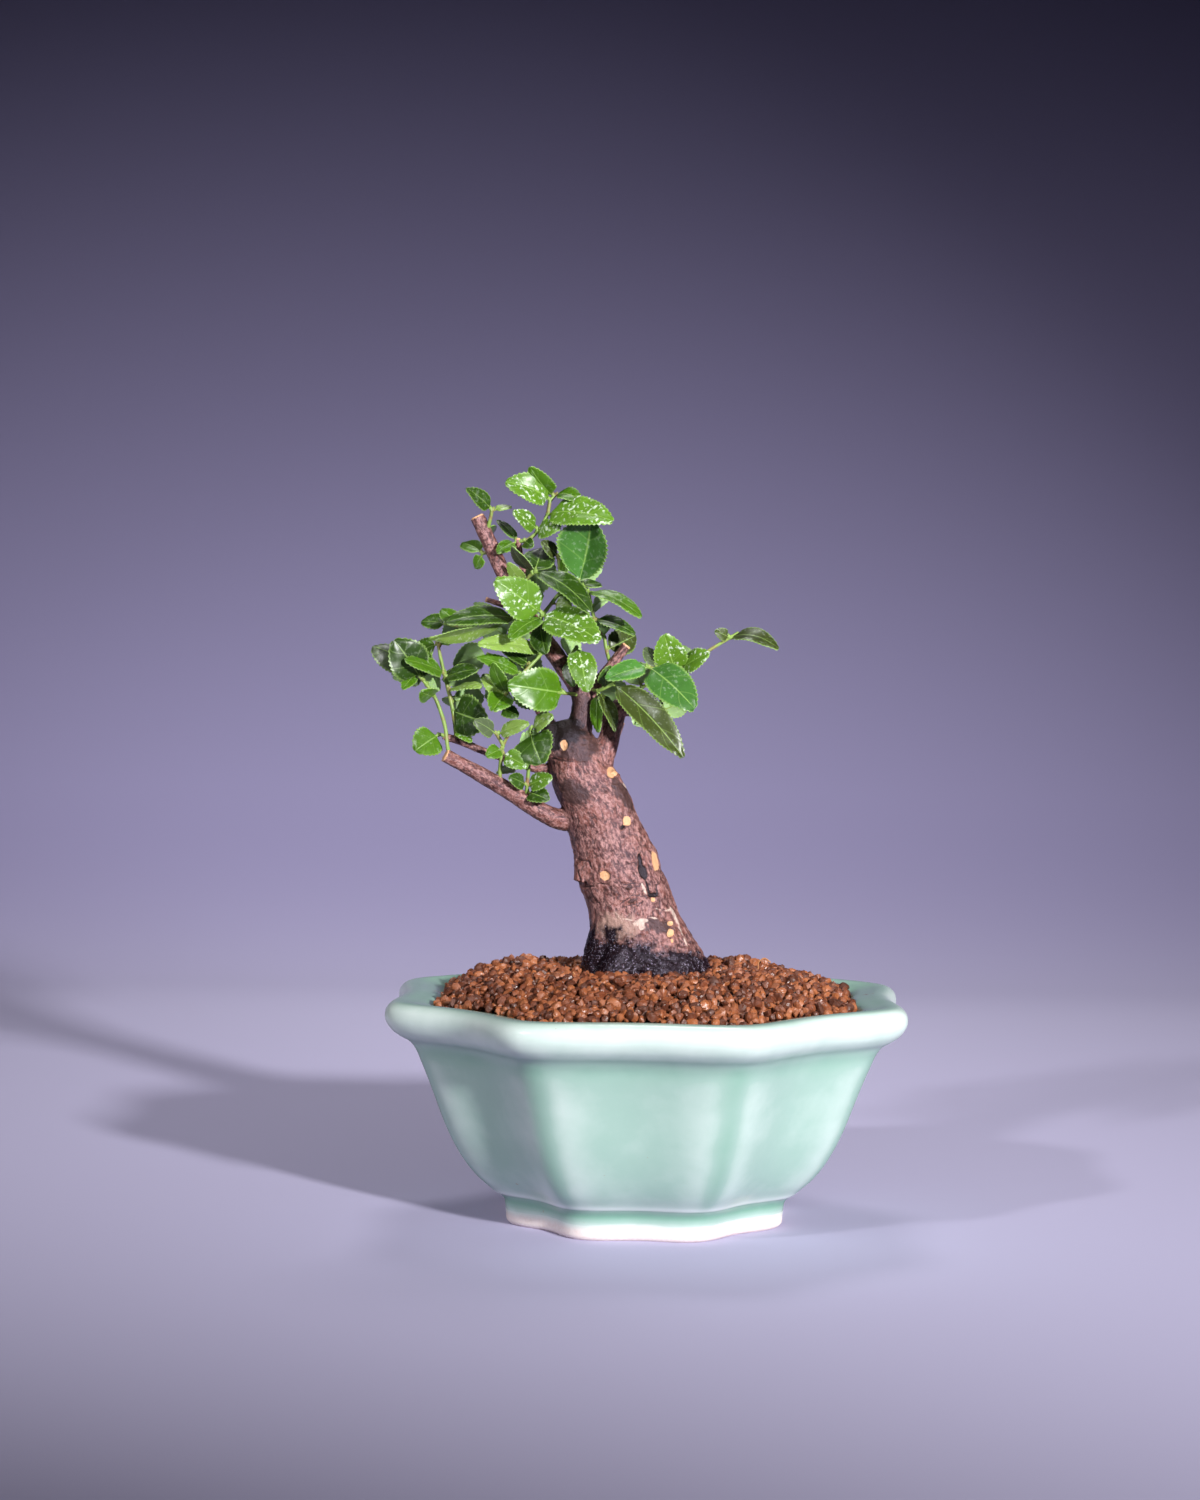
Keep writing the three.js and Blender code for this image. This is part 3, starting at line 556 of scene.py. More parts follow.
@dataclass(frozen=True)
class BakedClay:
    """Akadama: volcanic clay, sieved and baked to crumbly granules.

    Watered granules go from dull orange where dry to deep brown with small wet glints.
    """

    dry: str = "#9c5c38"
    damp: str = "#713c26"
    deep: str = "#45251a"
    wet_roughness: float = 0.24
    dry_roughness: float = 0.6

    def material(self) -> bpy.types.Material:
        """Builds the clay of the granules.

        Returns:
            The material, shaded granule by granule.
        """
        recipe = Recipe("Akadama_clay_sieved_and_baked")
        crumb = recipe.noise(0.7, 4)
        mottled = recipe.add_share(crumb, 0.5, recipe.carried("shade"))
        damp = recipe.mix(recipe.run(mottled, 0.15, 0.7), self.deep, self.damp)
        patches = recipe.noise(2.2, 3)
        dried = recipe.run(patches, 0.4, 0.6, self.wet_roughness, self.dry_roughness)
        return recipe.finish(
            {
                "Base Color": recipe.mix(recipe.run(mottled, 0.6, 1.25), damp, self.dry),
                "Roughness": dried,
                "Normal": recipe.bump(crumb, 0.8, 0.3),
            }
        )


@dataclass(frozen=True)
class LivingBark:
    """Sweet plum bark, grown: thin purple-brown flakes, speckled with light and dark grains.

    A faint wax gives it a soft lavender sheen. Pruned ends show pale raw wood, old wounds are
    black, painted shade darkens the knob and the top of the trunk under the crown, and the root
    stock is dark and glossy where it stays wet, dotted with pale painted glints.
    """

    plate: str = "#7e4d43"
    bloom: str = "#a87c76"
    dusk: str = "#583633"
    fissure: str = "#33201d"
    raw: str = "#d9a67c"
    split_and_shaded: str = "#1c1310"
    scraped: str = "#dcc6b8"
    darkened_and_shaded: str = "#3a2824"
    faded: str = "#aa8a7d"
    soaked: str = "#12080e"
    sodden: str = "#2a191b"
    painted_glint_dot: str = "#958ea2"
    glint: str = "#dcd3ee"
    wet_height: float = 83.5
    wet_slope: float = -0.2
    raggedness: float = 0.62

    def material(self) -> bpy.types.Material:
        """Builds the bark with its cuts.

        Returns:
            The material of the wood.
        """
        recipe = Recipe("Sweet_plum_bark_grown")
        along = recipe.carried("grain_place", "Vector")
        grains = recipe.noise(0.6, 5, None, self.raggedness)
        streaks = recipe.noise(0.95, 5, along, self.raggedness)
        pits = recipe.noise(0.7, 4, along, self.raggedness)
        clouds = recipe.noise(9, 3, None, self.raggedness)
        blooms = recipe.run(recipe.add_share(grains, 0.55, streaks), 0.68, 0.9)
        colour = recipe.mix(recipe.run(clouds, 0.38, 0.62), self.dusk, self.plate)
        colour = recipe.mix(blooms, colour, self.bloom)
        worn = recipe.add_share(recipe.carried("groove"), 0.24, pits)
        colour = recipe.mix(recipe.run(worn, 0.6, 0.76, 0.0, 0.8), colour, self.fissure)
        colour = self.marked(recipe, colour)
        wet = self.wetness(recipe)
        drenched = recipe.mix(recipe.run(grains, 0.5, 0.7), self.soaked, self.sodden)
        # pale dots of painted glint on the wet root stock
        painted_glints = recipe.run(recipe.noise(0.55, 2, None, self.raggedness), 0.63, 0.72)
        drenched = recipe.mix(painted_glints, drenched, self.painted_glint_dot)
        crust = recipe.add_share(grains, 0.8, streaks)
        return recipe.finish(
            {
                "Base Color": recipe.mix(wet, colour, drenched),
                "Roughness": recipe.run(wet, 0.0, 1.0, 0.42, 0.17),
                "Specular IOR Level": recipe.run(wet, 0.0, 1.0, 0.5, 0.42),
                "Specular Tint": linear(self.glint),
                "Normal": recipe.bump(crust, 1.0, 0.34),
            }
        )

    def marked(self, recipe: Recipe, colour: Socket) -> Socket:
        """Colours the marks on the bark, from the oldest to the freshest, with painted shade among
        the dark ones.

        Args:
            recipe: the bark in the making.
            colour: the colour under the marks.

        Returns:
            The colour with the marks.
        """
        frayed = recipe.noise(0.9, 5, None, self.raggedness)
        for name, shade, low, high, most in (
            ("faded", self.faded, 0.55, 1.0, 0.75),
            # dark patches on the bark, and painted shade where the crown shades the trunk
            ("darkened_and_shaded", self.darkened_and_shaded, 0.6, 0.9, 0.85),
            ("creased", self.fissure, 0.9, 1.2, 0.85),
            ("scraped", self.scraped, 1.12, 1.55, 0.9),
            # near black: split bark, and painted shade on the knob under the crown
            ("split_and_shaded", self.split_and_shaded, 0.75, 1.0, 1.0),
            ("raw", self.raw, 0.75, 0.9, 1.0),
        ):
            strength = recipe.add_share(frayed, 0.8, recipe.carried(name))
            colour = recipe.mix(recipe.run(strength, low, high, 0.0, most), colour, shade)
        return colour

    def wetness(self, recipe: Recipe) -> Socket:
        """Finds where the root stock is wet.

        Args:
            recipe: the bark in the making.

        Returns:
            1 under the wavering water line, and 0 over it.
        """
        waver, blur = 18.0, 1.4
        level = recipe.add_share(recipe.axis("X"), -self.wet_slope, recipe.axis("Z"))
        ripple = recipe.noise(7, 4, None, self.raggedness)
        tide = recipe.add_share(ripple, waver * METRES, level)
        edge = self.wet_height + waver / 2
        return recipe.run(tide, (edge + blur) * METRES, (edge - blur) * METRES)


class Tone(Enum):
    """Leaf colours, from fresh growth to old leaves, each with its share of white specks. The dark
    and grey tones also hold painted shade for leaves in the crown's shadow.
    """

    SPOTTED = ("#547a1c", 0.9)
    LIME = ("#446c08", 0.1)
    MID = ("#456b10", 0.16)
    # dark old leaf, and painted shade for leaves deep in the crown
    DARK = ("#2b470b", 0.12)
    PALE = ("#7a9644", 0.35)
    BLUISH = ("#3e6c29", 0.16)
    OLIVE = ("#364117", 0.14)
    # grey-green painted shade for shadowed leaves
    GREY = ("#4a563c", 0.1)


@dataclass(frozen=True)
class LeafTissue:
    """A living leaf, grown: waxy above, duller and paler below.

    The wax gives soft glints, the veins lie in light grooves, and dried drops of hard water
    leave white specks.
    """

    vein: str = "#a4c66a"
    underside: str = "#8fae72"
    speck: str = "#dfeadb"
    side_veins: float = 6.0
    vein_lean: float = -0.26
    wax_roughness: float = 0.36
    dull_roughness: float = 0.55

    def material(self) -> bpy.types.Material:
        """Builds the leaf with its veins and specks.

        Returns:
            The material of every blade.
        """
        recipe = Recipe("Sweet_plum_leaf_grown")
        under = recipe.carried("under")
        clouds = recipe.noise(3.4, 3)
        shade = {0: recipe.carried("tone", "Color"), "Scale": recipe.run(clouds, 0, 1, 0.8, 1.2)}
        varied = add_node(recipe.tree, "ShaderNodeVectorMath", shade, operation="SCALE")
        veins = self.veined(recipe)
        colour = recipe.mix(under, varied.outputs[0], self.underside)
        colour = recipe.mix(veins, colour, self.vein)
        splashes = recipe.add_share(recipe.noise(4.6, 2), 0.35, recipe.noise(1.1, 5))
        dried = recipe.work("MULTIPLY", recipe.run(splashes, 0.74, 0.86), recipe.carried("specks"))
        return recipe.finish(
            {
                "Base Color": recipe.mix(recipe.work("MULTIPLY", dried, 0.8), colour, self.speck),
                "Roughness": recipe.run(under, 0, 1, self.wax_roughness, self.dull_roughness),
                "Normal": recipe.bump(recipe.add_share(veins, -1.0, clouds), 0.5, 0.2),
                "IOR": 1.45,
                "Subsurface Weight": 0.25,
                "Subsurface Radius": (0.8, 1.0, 0.3),
                "Subsurface Scale": 0.8 * METRES,
            }
        )

    def veined(self, recipe: Recipe) -> Socket:
        """Draws the midrib, the slanting side veins and a painted highlight along the edge.

        Args:
            recipe: the leaf in the making.

        Returns:
            How much of the vein's colour shows.
        """
        wide = recipe.work("ABSOLUTE", recipe.carried("across"))
        slanted = recipe.add_share(wide, self.vein_lean, recipe.carried("along"))
        spaced = recipe.work("PINGPONG", recipe.work("MULTIPLY", slanted, self.side_veins), 1.0)
        side = recipe.run(spaced, 0.0, 0.1, 0.16, 0.0)
        midrib = recipe.run(wide, 0.0, 0.06, 0.5, 0.0)
        # painted highlight: a pale band along the blade's edge
        painted_edge_highlight = recipe.run(wide, 0.88, 1.0, 0.0, 0.45)
        return recipe.work("MAXIMUM", recipe.work("MAXIMUM", side, midrib), painted_edge_highlight)


@dataclass(frozen=True)
class GreenStem:
    """A green shoot of this year, grown: smooth and waxy, flushed red in patches."""

    stem: str = "#7f9a4a"
    flush: str = "#8a6a4a"

    def material(self) -> bpy.types.Material:
        """Builds the skin of the stems.

        Returns:
            The material of stems and leaf stalks.
        """
        recipe = Recipe("Green_shoot_grown")
        patches = recipe.run(recipe.noise(3, 3), 0.5, 0.7)
        colour = recipe.mix(patches, self.stem, self.flush)
        return recipe.finish({"Base Color": colour, "Roughness": 0.45})


@dataclass(frozen=True)
class DryRoot:
    """A root fibre that dried in the air, grown: matte, orange-tan and a little uneven."""

    tan: str = "#c48a5c"
    husk: str = "#8f5a38"

    def material(self) -> bpy.types.Material:
        """Builds the skin of the fibres.

        Returns:
            The material of the root fibres.
        """
        recipe = Recipe("Root_fibre_air_dried")
        colour = recipe.mix(recipe.noise(1.2, 3), self.tan, self.husk)
        return recipe.finish({"Base Color": colour, "Roughness": 0.7})


@dataclass(frozen=True)
class ScreenPlastic:
    """Polypropylene mesh, moulded: black and slightly dull, greyer where it is scuffed."""

    colour: str = "#26282a"
    scuffed: str = "#3a3b3c"

    def material(self) -> bpy.types.Material:
        """Builds the plastic of the drain screen.

        Returns:
            The material of the screen.
        """
        recipe = Recipe("Polypropylene_mesh_moulded")
        colour = recipe.mix(recipe.noise(1.2, 3), self.colour, self.scuffed)
        return recipe.finish({"Base Color": colour, "Roughness": 0.55})


@dataclass(frozen=True)
class Octagon:
    """The pot's outline: eight hand-pressed corners with slightly hollow sides between."""

    corners: tuple[float, ...] = (22.5, 67.5, 112.5, 157.5, 202.5, 244, 291.5, 337.5)
    hollow: float = 0.09
    side_steps: int = 40

    def drawn_in(self, share: np.ndarray, softness: float | np.ndarray = 0.42) -> np.ndarray:
        """How far a side has drawn in.

        Args:
            share: how far along the side, from 0 at one corner to 1 at the next.
            softness: how round the corners are, from 0 where they are sharp.

        Returns:
            0 at the corners and 1 at the side's middle.
        """
        soft = np.hypot(np.sin(np.pi * share), softness) - softness
        return soft / (np.hypot(1, softness) - softness)

    def walk(self) -> tuple[np.ndarray, np.ndarray]:
        """Goes once round the outline, with closer steps near the corners.

        Returns:
            The angle of each step, in radians, and its share of its side.
        """
        share = 0.5 - 0.5 * np.cos(np.pi * np.arange(self.side_steps) / self.side_steps)
        following = (*self.corners[1:], self.corners[0] + 360)
        angles = [a + (b - a) * share for a, b in zip(self.corners, following)]
        return np.radians(np.concatenate(angles)) + POT_TURNING, np.tile(share, len(self.corners))

    def reach(self, angle: np.ndarray) -> np.ndarray:
        """How far the outline lies out.

        Args:
            angle: directions from the pot's axis, in radians.

        Returns:
            Shares of the corner radius.
        """
        turned = (np.degrees(angle - POT_TURNING) - self.corners[0]) % 360 + self.corners[0]
        marks = np.array((*self.corners, self.corners[0] + 360))
        share = np.interp(turned, marks, np.arange(len(marks))) % 1
        return 1 - self.hollow * self.drawn_in(share)


@dataclass(frozen=True)
class Pot:
    """The glazed bowl, with its rolled rim, foot ring and drain hole.

    Each row of a profile is a corner radius, a height and how thick the glaze has pooled,
    from 0 where it is thin to 1. Each corner band is how much glaze has run off and over what
    share of a side. The walls have them: their middle height, how far they reach from it, and
    the fade there. Roundness gives how soft the corners are by height.
    """

    outline: Octagon = Octagon()
    outside: tuple[Place, ...] = (
        (42.0, 0.0, 0.0),
        (42.7, 0.5, 0.0),
        (43.2, 3.2, 0.05),
        (43.5, 5.4, 0.45),
        (43.9, 7.2, 1.0),
        (45.4, 8.9, 0.75),
        (46.9, 9.7, 0.1),
        (48.7, 11.2, 0.36),
        (52.0, 14.0, 0.46),
        (55.5, 18.0, 0.5),
        (59.3, 24.0, 0.52),
        (62.2, 30.0, 0.5),
        (65.0, 37.0, 0.48),
        (67.6, 43.5, 0.5),
        (70.0, 49.0, 0.58),
        (71.8, 52.8, 0.72),
        (73.6, 55.0, 0.6),
        (77.0, 57.0, 0.34),
        (79.6, 59.2, 0.2),
        (81.1, 62.4, 0.14),
        (80.6, 64.8, 0.1),
        (78.8, 66.4, 0.28),
        (76.0, 66.9, 0.6),
        (72.0, 66.3, 0.66),
        (67.5, 65.2, 0.7),
        (66.2, 64.2, 0.75),
        (65.4, 60.0, 0.8),
    )
    inside: tuple[Place, ...] = (
        (62.2, 48.0, 0.7),
        (56.5, 33.0, 0.7),
        (51.0, 24.0, 0.7),
        (44.0, 16.5, 0.7),
        (36.0, 11.0, 0.7),
    )
    drain_radius: float = 6.5
    floor_top: float = 11.0
    recess: float = 3.0
    foot_inner: float = 34.6
    roundness: tuple[tuple[float, float], ...] = (
        (0, 1.2),
        (9, 0.85),
        (20, 0.5),
        (50, 0.42),
        (67, 0.42),
    )
    corner_bands: tuple[tuple[float, float], ...] = ((0.34, 0.19), (-0.52, 0.075))
    walls: tuple[float, float, float] = (32.0, 25.0, 8.0)
    smoothing: int = 4
    wobble: float = 0.3

    def profile(self) -> np.ndarray:
        """Rounds the profile from the foot over the rim to the floor inside.

        Returns:
            Rows of corner radius, height, glaze and side hollow, once round the section.
        """
        knots = np.array((*self.outside, *self.inside))
        spaced = np.column_stack([knots[:, 0], knots[:, 1], np.zeros(len(knots)), knots[:, 2]])
        line = smooth_line(spaced, self.smoothing)
        hollow = np.full(len(line), self.outline.hollow)
        wall = np.column_stack([line[:, 0], line[:, 1], line[:, 3], hollow])
        under = np.array(
            [
                (self.drain_radius + 0.4, self.floor_top, 0.6, 0),
                (self.drain_radius, self.floor_top - 0.4, 0.6, 0),
                (self.drain_radius, self.recess + 0.4, 0.3, 0),
                (self.drain_radius + 0.4, self.recess, 0.3, 0),
                (20, self.recess, 0.3, 0.05),
                (self.foot_inner - 1.5, self.recess, 0.3, 0.09),
                (self.foot_inner - 0.3, 0.4, 0.3, 0.09),
                (self.foot_inner + 0.3, 0.0, 0.3, 0.09),
            ]
        )
        return np.vstack([wall, under])

    def build(self, glaze: bpy.types.Material) -> bpy.types.Object:
        """Turns the profile round the eight-sided outline.

        Args:
            glaze: the material of the whole pot.

        Returns:
            The pot, standing for the plain one.
        """
        angle, share = self.outline.walk()
        profile = self.profile()
        softness = np.interp(profile[:, 1:2], *zip(*self.roundness))
        drawn = self.outline.drawn_in(share[None], softness)
        radius = profile[:, :1] * (1 - profile[:, 3:] * drawn)
        height = np.broadcast_to(profile[:, 1:2], radius.shape)
        points = np.stack([radius * np.cos(angle), radius * np.sin(angle), height], axis=2)
        points = points.reshape(-1, 3)
        hand = grain(points, 30, 3) * self.wobble
        points[:, :2] += unit(points[:, :2]) * hand[:, None] * (points[:, 2:3] > 1)
        from_corner = np.minimum(share, 1 - share)
        thinned = sum(
            run_off * np.exp(-((from_corner / wide) ** 2)) for run_off, wide in self.corner_bands
        )
        middle, reach, fade = self.walls
        thinned = thinned * np.clip((reach - np.abs(profile[:, 1:2] - middle)) / fade, 0, 1)
        pool = np.clip(profile[:, 2:3] - thinned, 0, 1).ravel()
        faces = lattice(len(profile) + 1, len(angle), True) % len(points)
        skin = Skin()
        skin.add(points, [faces], pool=pool)
        piece = skin.piece("celadon_pot", "celadon", [glaze], crease=60)
        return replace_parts(piece, "pot")


@dataclass(frozen=True)
class SoilBed:
    """The mounded granules, two layers deep, over packed soil.

    Each layer has its pitch in granules, the share of places that hold one, and its lift over
    the bed's top.
    """

    outline: Octagon = Octagon()
    edge_radius: float = 65.0
    edge_height: float = 63.6
    mound: float = 9.2
    mound_radius: float = 66.0
    flatness: float = 4.0
    heaps: tuple[tuple[float, float, float, float], ...] = (
        (-41.0, 14.0, 3.0, 11.0),
        (30.0, 26.0, 1.6, 10.0),
    )
    granule: float = 2.3
    facets: int = 9
    bottom: tuple[tuple[float, float], ...] = (
        (36.0, 12.8),
        (44.0, 17.2),
        (51.0, 24.6),
        (56.5, 33.5),
        (62.0, 48.5),
    )
    trunk_foot: tuple[float, float, float] = (1.0, 0.0, 14.5)
    layers: tuple[tuple[float, float, float], ...] = ((0.94, 1.0, -0.55), (1.05, 0.62, 0.75))
    root_fibres: tuple[tuple[Knot, ...], ...] = (
        ((31.6, 4, 70.5, 0.2), (33.2, 4, 73.6, 0.2), (33.6, 3.6, 76.2, 0.2),
         (35.2, 3.4, 77.2, 0.2), (37, 3.2, 76.0, 0.2)),
        ((-19.8, -20, 71.5, 0.22), (-20.6, -20.4, 73.6, 0.22), (-21.6, -20.6, 75.2, 0.22)),
    )  # fmt: skip
    seed: int = 5

    def height(self, x: np.ndarray, y: np.ndarray) -> np.ndarray:
        """The top of the soil over a place.

        Args:
            x: rightward from the pot's axis.
            y: backward from it.

        Returns:
            Heights over the table.
        """
        share = np.minimum(np.hypot(x, y) / self.mound_radius, 1)
        top = self.edge_height + self.mound * (1 - share**self.flatness)
        for heap_x, heap_y, rise, spread in self.heaps:
            away = np.hypot(x - heap_x, y - heap_y) / spread
            top = top + rise * np.exp(-(away**2))
        return top

    def packed(self, skin: Skin) -> None:
        """Adds the body of the soil under its granules, coloured near the deepest brown as painted
        shade in the gaps between them.

        Args:
            skin: the mesh that takes it.
        """
        angle, share = self.outline.walk()
        angle, share = angle[::4], share[::4]
        reach = 1 - self.outline.hollow * self.outline.drawn_in(share)
        outline = np.column_stack([reach * np.cos(angle), reach * np.sin(angle)])
        rings = []
        for radius, height in ((0.5, self.bottom[0][1]), *self.bottom):
            rings.append(np.column_stack([radius * outline, np.full(len(angle), height)]))
        for share_out in np.linspace(1, 0.008, 28):
            x, y = (self.edge_radius - 0.3) * share_out * outline.T
            sunk = 1.6 + 1.4 * share_out**12
            rings.append(np.column_stack([x, y, self.height(x, y) - sunk]))
        points = np.vstack(rings)
        count = len(angle)
        turn = np.arange(count)
        centres = np.array([rings[0].mean(axis=0), rings[-1].mean(axis=0)])
        low, high = len(points), len(points) + 1
        last = len(points) - count
        floor = np.stack([turn, np.full(count, low), (turn + 1) % count], axis=1)
        peak = np.stack([last + turn, last + (turn + 1) % count, np.full(count, high)], axis=1)
        # the packed soil takes the deepest brown: painted shade in the gaps between granules
        skin.add(
            np.vstack([points, centres]),
            [lattice(len(rings), count, True), floor, peak],
            shade=0.05,
        )

    def places(self, draw: np.random.Generator) -> np.ndarray:
        """Scatters granules over the bed, in a settled layer and a loose one.

        Args:
            draw: the seeded source of chance.

        Returns:
            The centre and the radius of each granule.
        """
        rows = []
        for layer, (pitch, kept, lift) in enumerate(self.layers):
            step = self.granule * pitch
            half = int(self.edge_radius / step) + 2
            i, j = np.meshgrid(np.arange(-half, half), np.arange(-half * 2, half * 2))
            x = (i + 0.5 * (j % 2) + 0.27 * layer).ravel() * step
            y = (j * math.sqrt(0.75) + 0.4 * layer).ravel() * step
            x += draw.uniform(-0.32, 0.32, len(x)) * step
            y += draw.uniform(-0.32, 0.32, len(y)) * step
            angle = np.arctan2(y, x)
            inside = np.hypot(x, y) < (self.edge_radius + 0.2) * self.outline.reach(angle)
            foot_x, foot_y, foot_radius = self.trunk_foot
            inside &= np.hypot(x - foot_x, y - foot_y) > foot_radius
            inside &= draw.uniform(0, 1, len(x)) < kept
            x, y = x[inside], y[inside]
            size = draw.uniform(0.62, 1.3, len(x)) * self.granule / 2
            z = self.height(x, y) + lift + draw.uniform(-0.5, 0.5, len(x))
            rows.append(np.column_stack([x, y, z, size]))
        return np.vstack(rows)

    def build(self, clay: bpy.types.Material, fibre: bpy.types.Material) -> bpy.types.Object:
        """Fills the pot.

        Args:
            clay: the material of the granules.
            fibre: the material of the dry root fibres.

        Returns:
            The soil, standing for the plain one.
        """
        draw = np.random.default_rng(self.seed)
        granules = self.places(draw)
        shaper = bmesh.new()
        bmesh.ops.create_icosphere(shaper, subdivisions=2, radius=1)
        shaper.verts.ensure_lookup_table()
        sphere = np.array([v.co[:] for v in shaper.verts])
        faces = np.array([[v.index for v in f.verts] for f in shaper.faces])
        shaper.free()
        halves = np.array_split(draw.permutation(len(granules)), 2)
        pieces = []
        for number, chosen in enumerate(halves):
            skin = Skin()
            if number == 0:
                self.packed(skin)
            self.crumble(skin, granules[chosen], sphere, faces, draw)
            if number == 0:
                self.fibres(skin)
            name = ("akadama_bed", "akadama_top_granules")[number]
            pieces.append(skin.piece(name, "granules", [clay, fibre], crease=32))
        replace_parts(pieces[0], "soil")
        return pieces[0]

    def crumble(
        self,
        skin: Skin,
        granules: np.ndarray,
        sphere: np.ndarray,
        faces: np.ndarray,
        draw: np.random.Generator,
    ) -> None:
        """Adds granules, each knocked out of round in its own way.

        Args:
            skin: the mesh that takes them.
            granules: their centres and radii.
            sphere: the points of a ball of radius 1.
            faces: the ball's faces.
            draw: the seeded source of chance.
        """
        count = len(granules)
        around = np.repeat(granules[:, :3], len(sphere), axis=0)
        unit_ball = np.tile(sphere, (count, 1))
        owner = np.repeat(np.arange(count), len(sphere))[:, None]
        cuts = unit(draw.normal(size=(count, self.facets, 3)))
        depths = draw.uniform(0.7, 1.05, (count, self.facets))
        facing = np.einsum("ijk,lk->ilj", cuts, sphere)
        reach = np.where(facing > 0.05, depths[:, None] / np.maximum(facing, 0.05), 9).min(axis=2)
        reach = np.minimum(reach, 1.25).reshape(-1)
        crumbs = grain(unit_ball + owner * 3.7, 0.5, 1) * 0.17
        stretch = np.repeat(draw.uniform(0.8, 1.2, (count, 3)), len(sphere), axis=0)
        size = np.repeat(granules[:, 3:], len(sphere), axis=0)
        shape = unit_ball * stretch * size * (reach + crumbs)[:, None]
        offsets = (np.arange(count) * len(sphere))[:, None, None]
        shade = np.repeat(draw.uniform(0, 1, count) ** 1.2, len(sphere))
        skin.add(around + shape, [(faces[None] + offsets).reshape(-1, 3)], shade=shade)

    def fibres(self, skin: Skin) -> None:
        """Adds the two dry root fibres that stand out of the granules.

        Args:
            skin: the mesh that takes them.
        """
        for knots in self.root_fibres:
            skin.tube(smooth_line(np.array(knots, float), 6), 6, finish=1, shade=0.5)


@dataclass(frozen=True)
class Limb:
    """One length of wood: knots of place and radius, and whether its far end was pruned."""

    knots: tuple[Knot, ...]
    pruned: bool = False
    flat: float = 1.0


MARK_MASKS = ("split_and_shaded", "scraped", "darkened_and_shaded", "faded", "creased")


class MarkKind(Enum):
    """What left a mark on the bark, or the painted shade laid on it, with how far it sinks in
    millimetres.
    """

    CUT = ("raw", -0.2)
    SPLIT = ("split_and_shaded", -1.0)
    SCORCH = ("split_and_shaded", 0.3)
    CHARRED = ("darkened_and_shaded", 0.25)
    CREASE = ("creased", -0.5)
    SCRAPE = ("scraped", 0.12)
    FADED = ("faded", 0.0)


@dataclass(frozen=True)
class Mark:
    """A mark on the trunk: its middle, half its size each way, its kind and its lean.

    The lean is in degrees, to the right from upright as the viewer sees it.
    """

    place: Place
    size: Place
    kind: MarkKind
    lean: float = 0.0

    def away(self, points: np.ndarray) -> np.ndarray:
        """How far points lie from the mark's middle.

        Args:
            points: places on the wood.

        Returns:
            Shares of half the mark's size: 1 on its outline.
        """
        offset = points - np.array(self.place)
        turn = math.radians(self.lean)
        across = offset[:, 0] * math.cos(turn) - offset[:, 2] * math.sin(turn)
        up = offset[:, 0] * math.sin(turn) + offset[:, 2] * math.cos(turn)
        turned = np.stack([across, offset[:, 1], up], axis=1)
        return np.linalg.norm(turned / np.array(self.size), axis=1)


TRUNK = Limb(
    (
        (3, 1, 34, 6), (2, 1, 50, 12), (1, 0, 66, 17), (-0.3, 0, 77.7, 15.6),
        (-3.5, 0, 86.3, 13.8), (-5.7, 0, 95.6, 12.4), (-9.3, 0, 104.8, 12.2),
        (-12.2, 0, 113.5, 11), (-16, 0, 124, 10.3), (-20.4, 0, 132, 8.9),
        (-22.8, 0, 139, 7.9), (-24.6, 0.5, 144, 6.2), (-25.4, 1, 147.6, 3.2),
    ),
    flat=0.92,
)  # fmt: skip
RIGHT_ROOT = Limb(((1, 0, 88, 7), (8, -1, 80, 7), (14.5, -2, 74, 4.6), (20, -3, 67, 3)))
FRONT_ROOT = Limb(((-2, -4, 86, 8), (-7, -9, 77, 6.5), (-12, -14, 68, 4)))
BACK_ROOT = Limb(((-2, 4, 88, 8), (2, 12, 76, 6), (5, 19, 67, 3.5)))
LEADER = Limb(
    (
        (-21.5, 0, 137, 4.2), (-20.6, 0, 146, 3.6), (-19.9, 0, 154, 3.3), (-26.7, 0, 165.3, 2.8),
        (-32.7, 0, 173.4, 2.6), (-38.8, 0, 182.3, 2.5), (-43.9, 0, 191.3, 2.35),
        (-48, 0, 200.2, 2.25), (-52, 0, 208.4, 2.1),
    ),
    pruned=True,
)  # fmt: skip
UPPER_TWIG = Limb(((-37.2, 0, 181.5, 1.2), (-38.2, 0, 192.6, 1.05), (-39.9, 0, 202, 0.95)), True)
UPPER_SPUR = Limb(((-38.4, 0, 180.6, 1.1), (-43.6, 0, 182, 0.95), (-49.2, 0, 183.8, 0.85)), True)
RIGHT_BRANCH = Limb(
    (
        (-17.4, 0, 131, 4.4), (-12.6, 0, 140.5, 3.2), (-11, 1, 147, 3), (-9, 2, 151.8, 2.9),
        (-4.8, 3, 152, 2.75), (-0.5, 4, 150.9, 2.65),
    ),
    pruned=True,
)  # fmt: skip
FORK = Limb(((-11.5, 1, 148, 2.4), (-17.5, 0.5, 155, 2), (-20, 0, 157, 1.8)))
INNER_STUB = Limb(
    (
        (-19.4, 0, 153.8, 1.9), (-14.6, 0.5, 160.6, 1.65), (-11, 0.5, 165.2, 1.55),
        (-7, 0.5, 170.6, 1.5),
    ),
    pruned=True,
)  # fmt: skip
INNER_SPUR = Limb(((-18.6, -1, 157.2, 1.1), (-14.6, -3, 158.8, 0.95), (-10.8, -4, 160, 0.9)), True)
LOWER_BRANCH = Limb(
    (
        (-19, 0, 118.5, 3.9), (-26, -1.5, 118.4, 3.2), (-30.5, -3, 120.2, 2.9),
        (-38, -4, 124.8, 2.65), (-49.7, -6.5, 131.8, 2.35), (-60.4, -9, 137.6, 2),
    ),
    pruned=True,
)  # fmt: skip
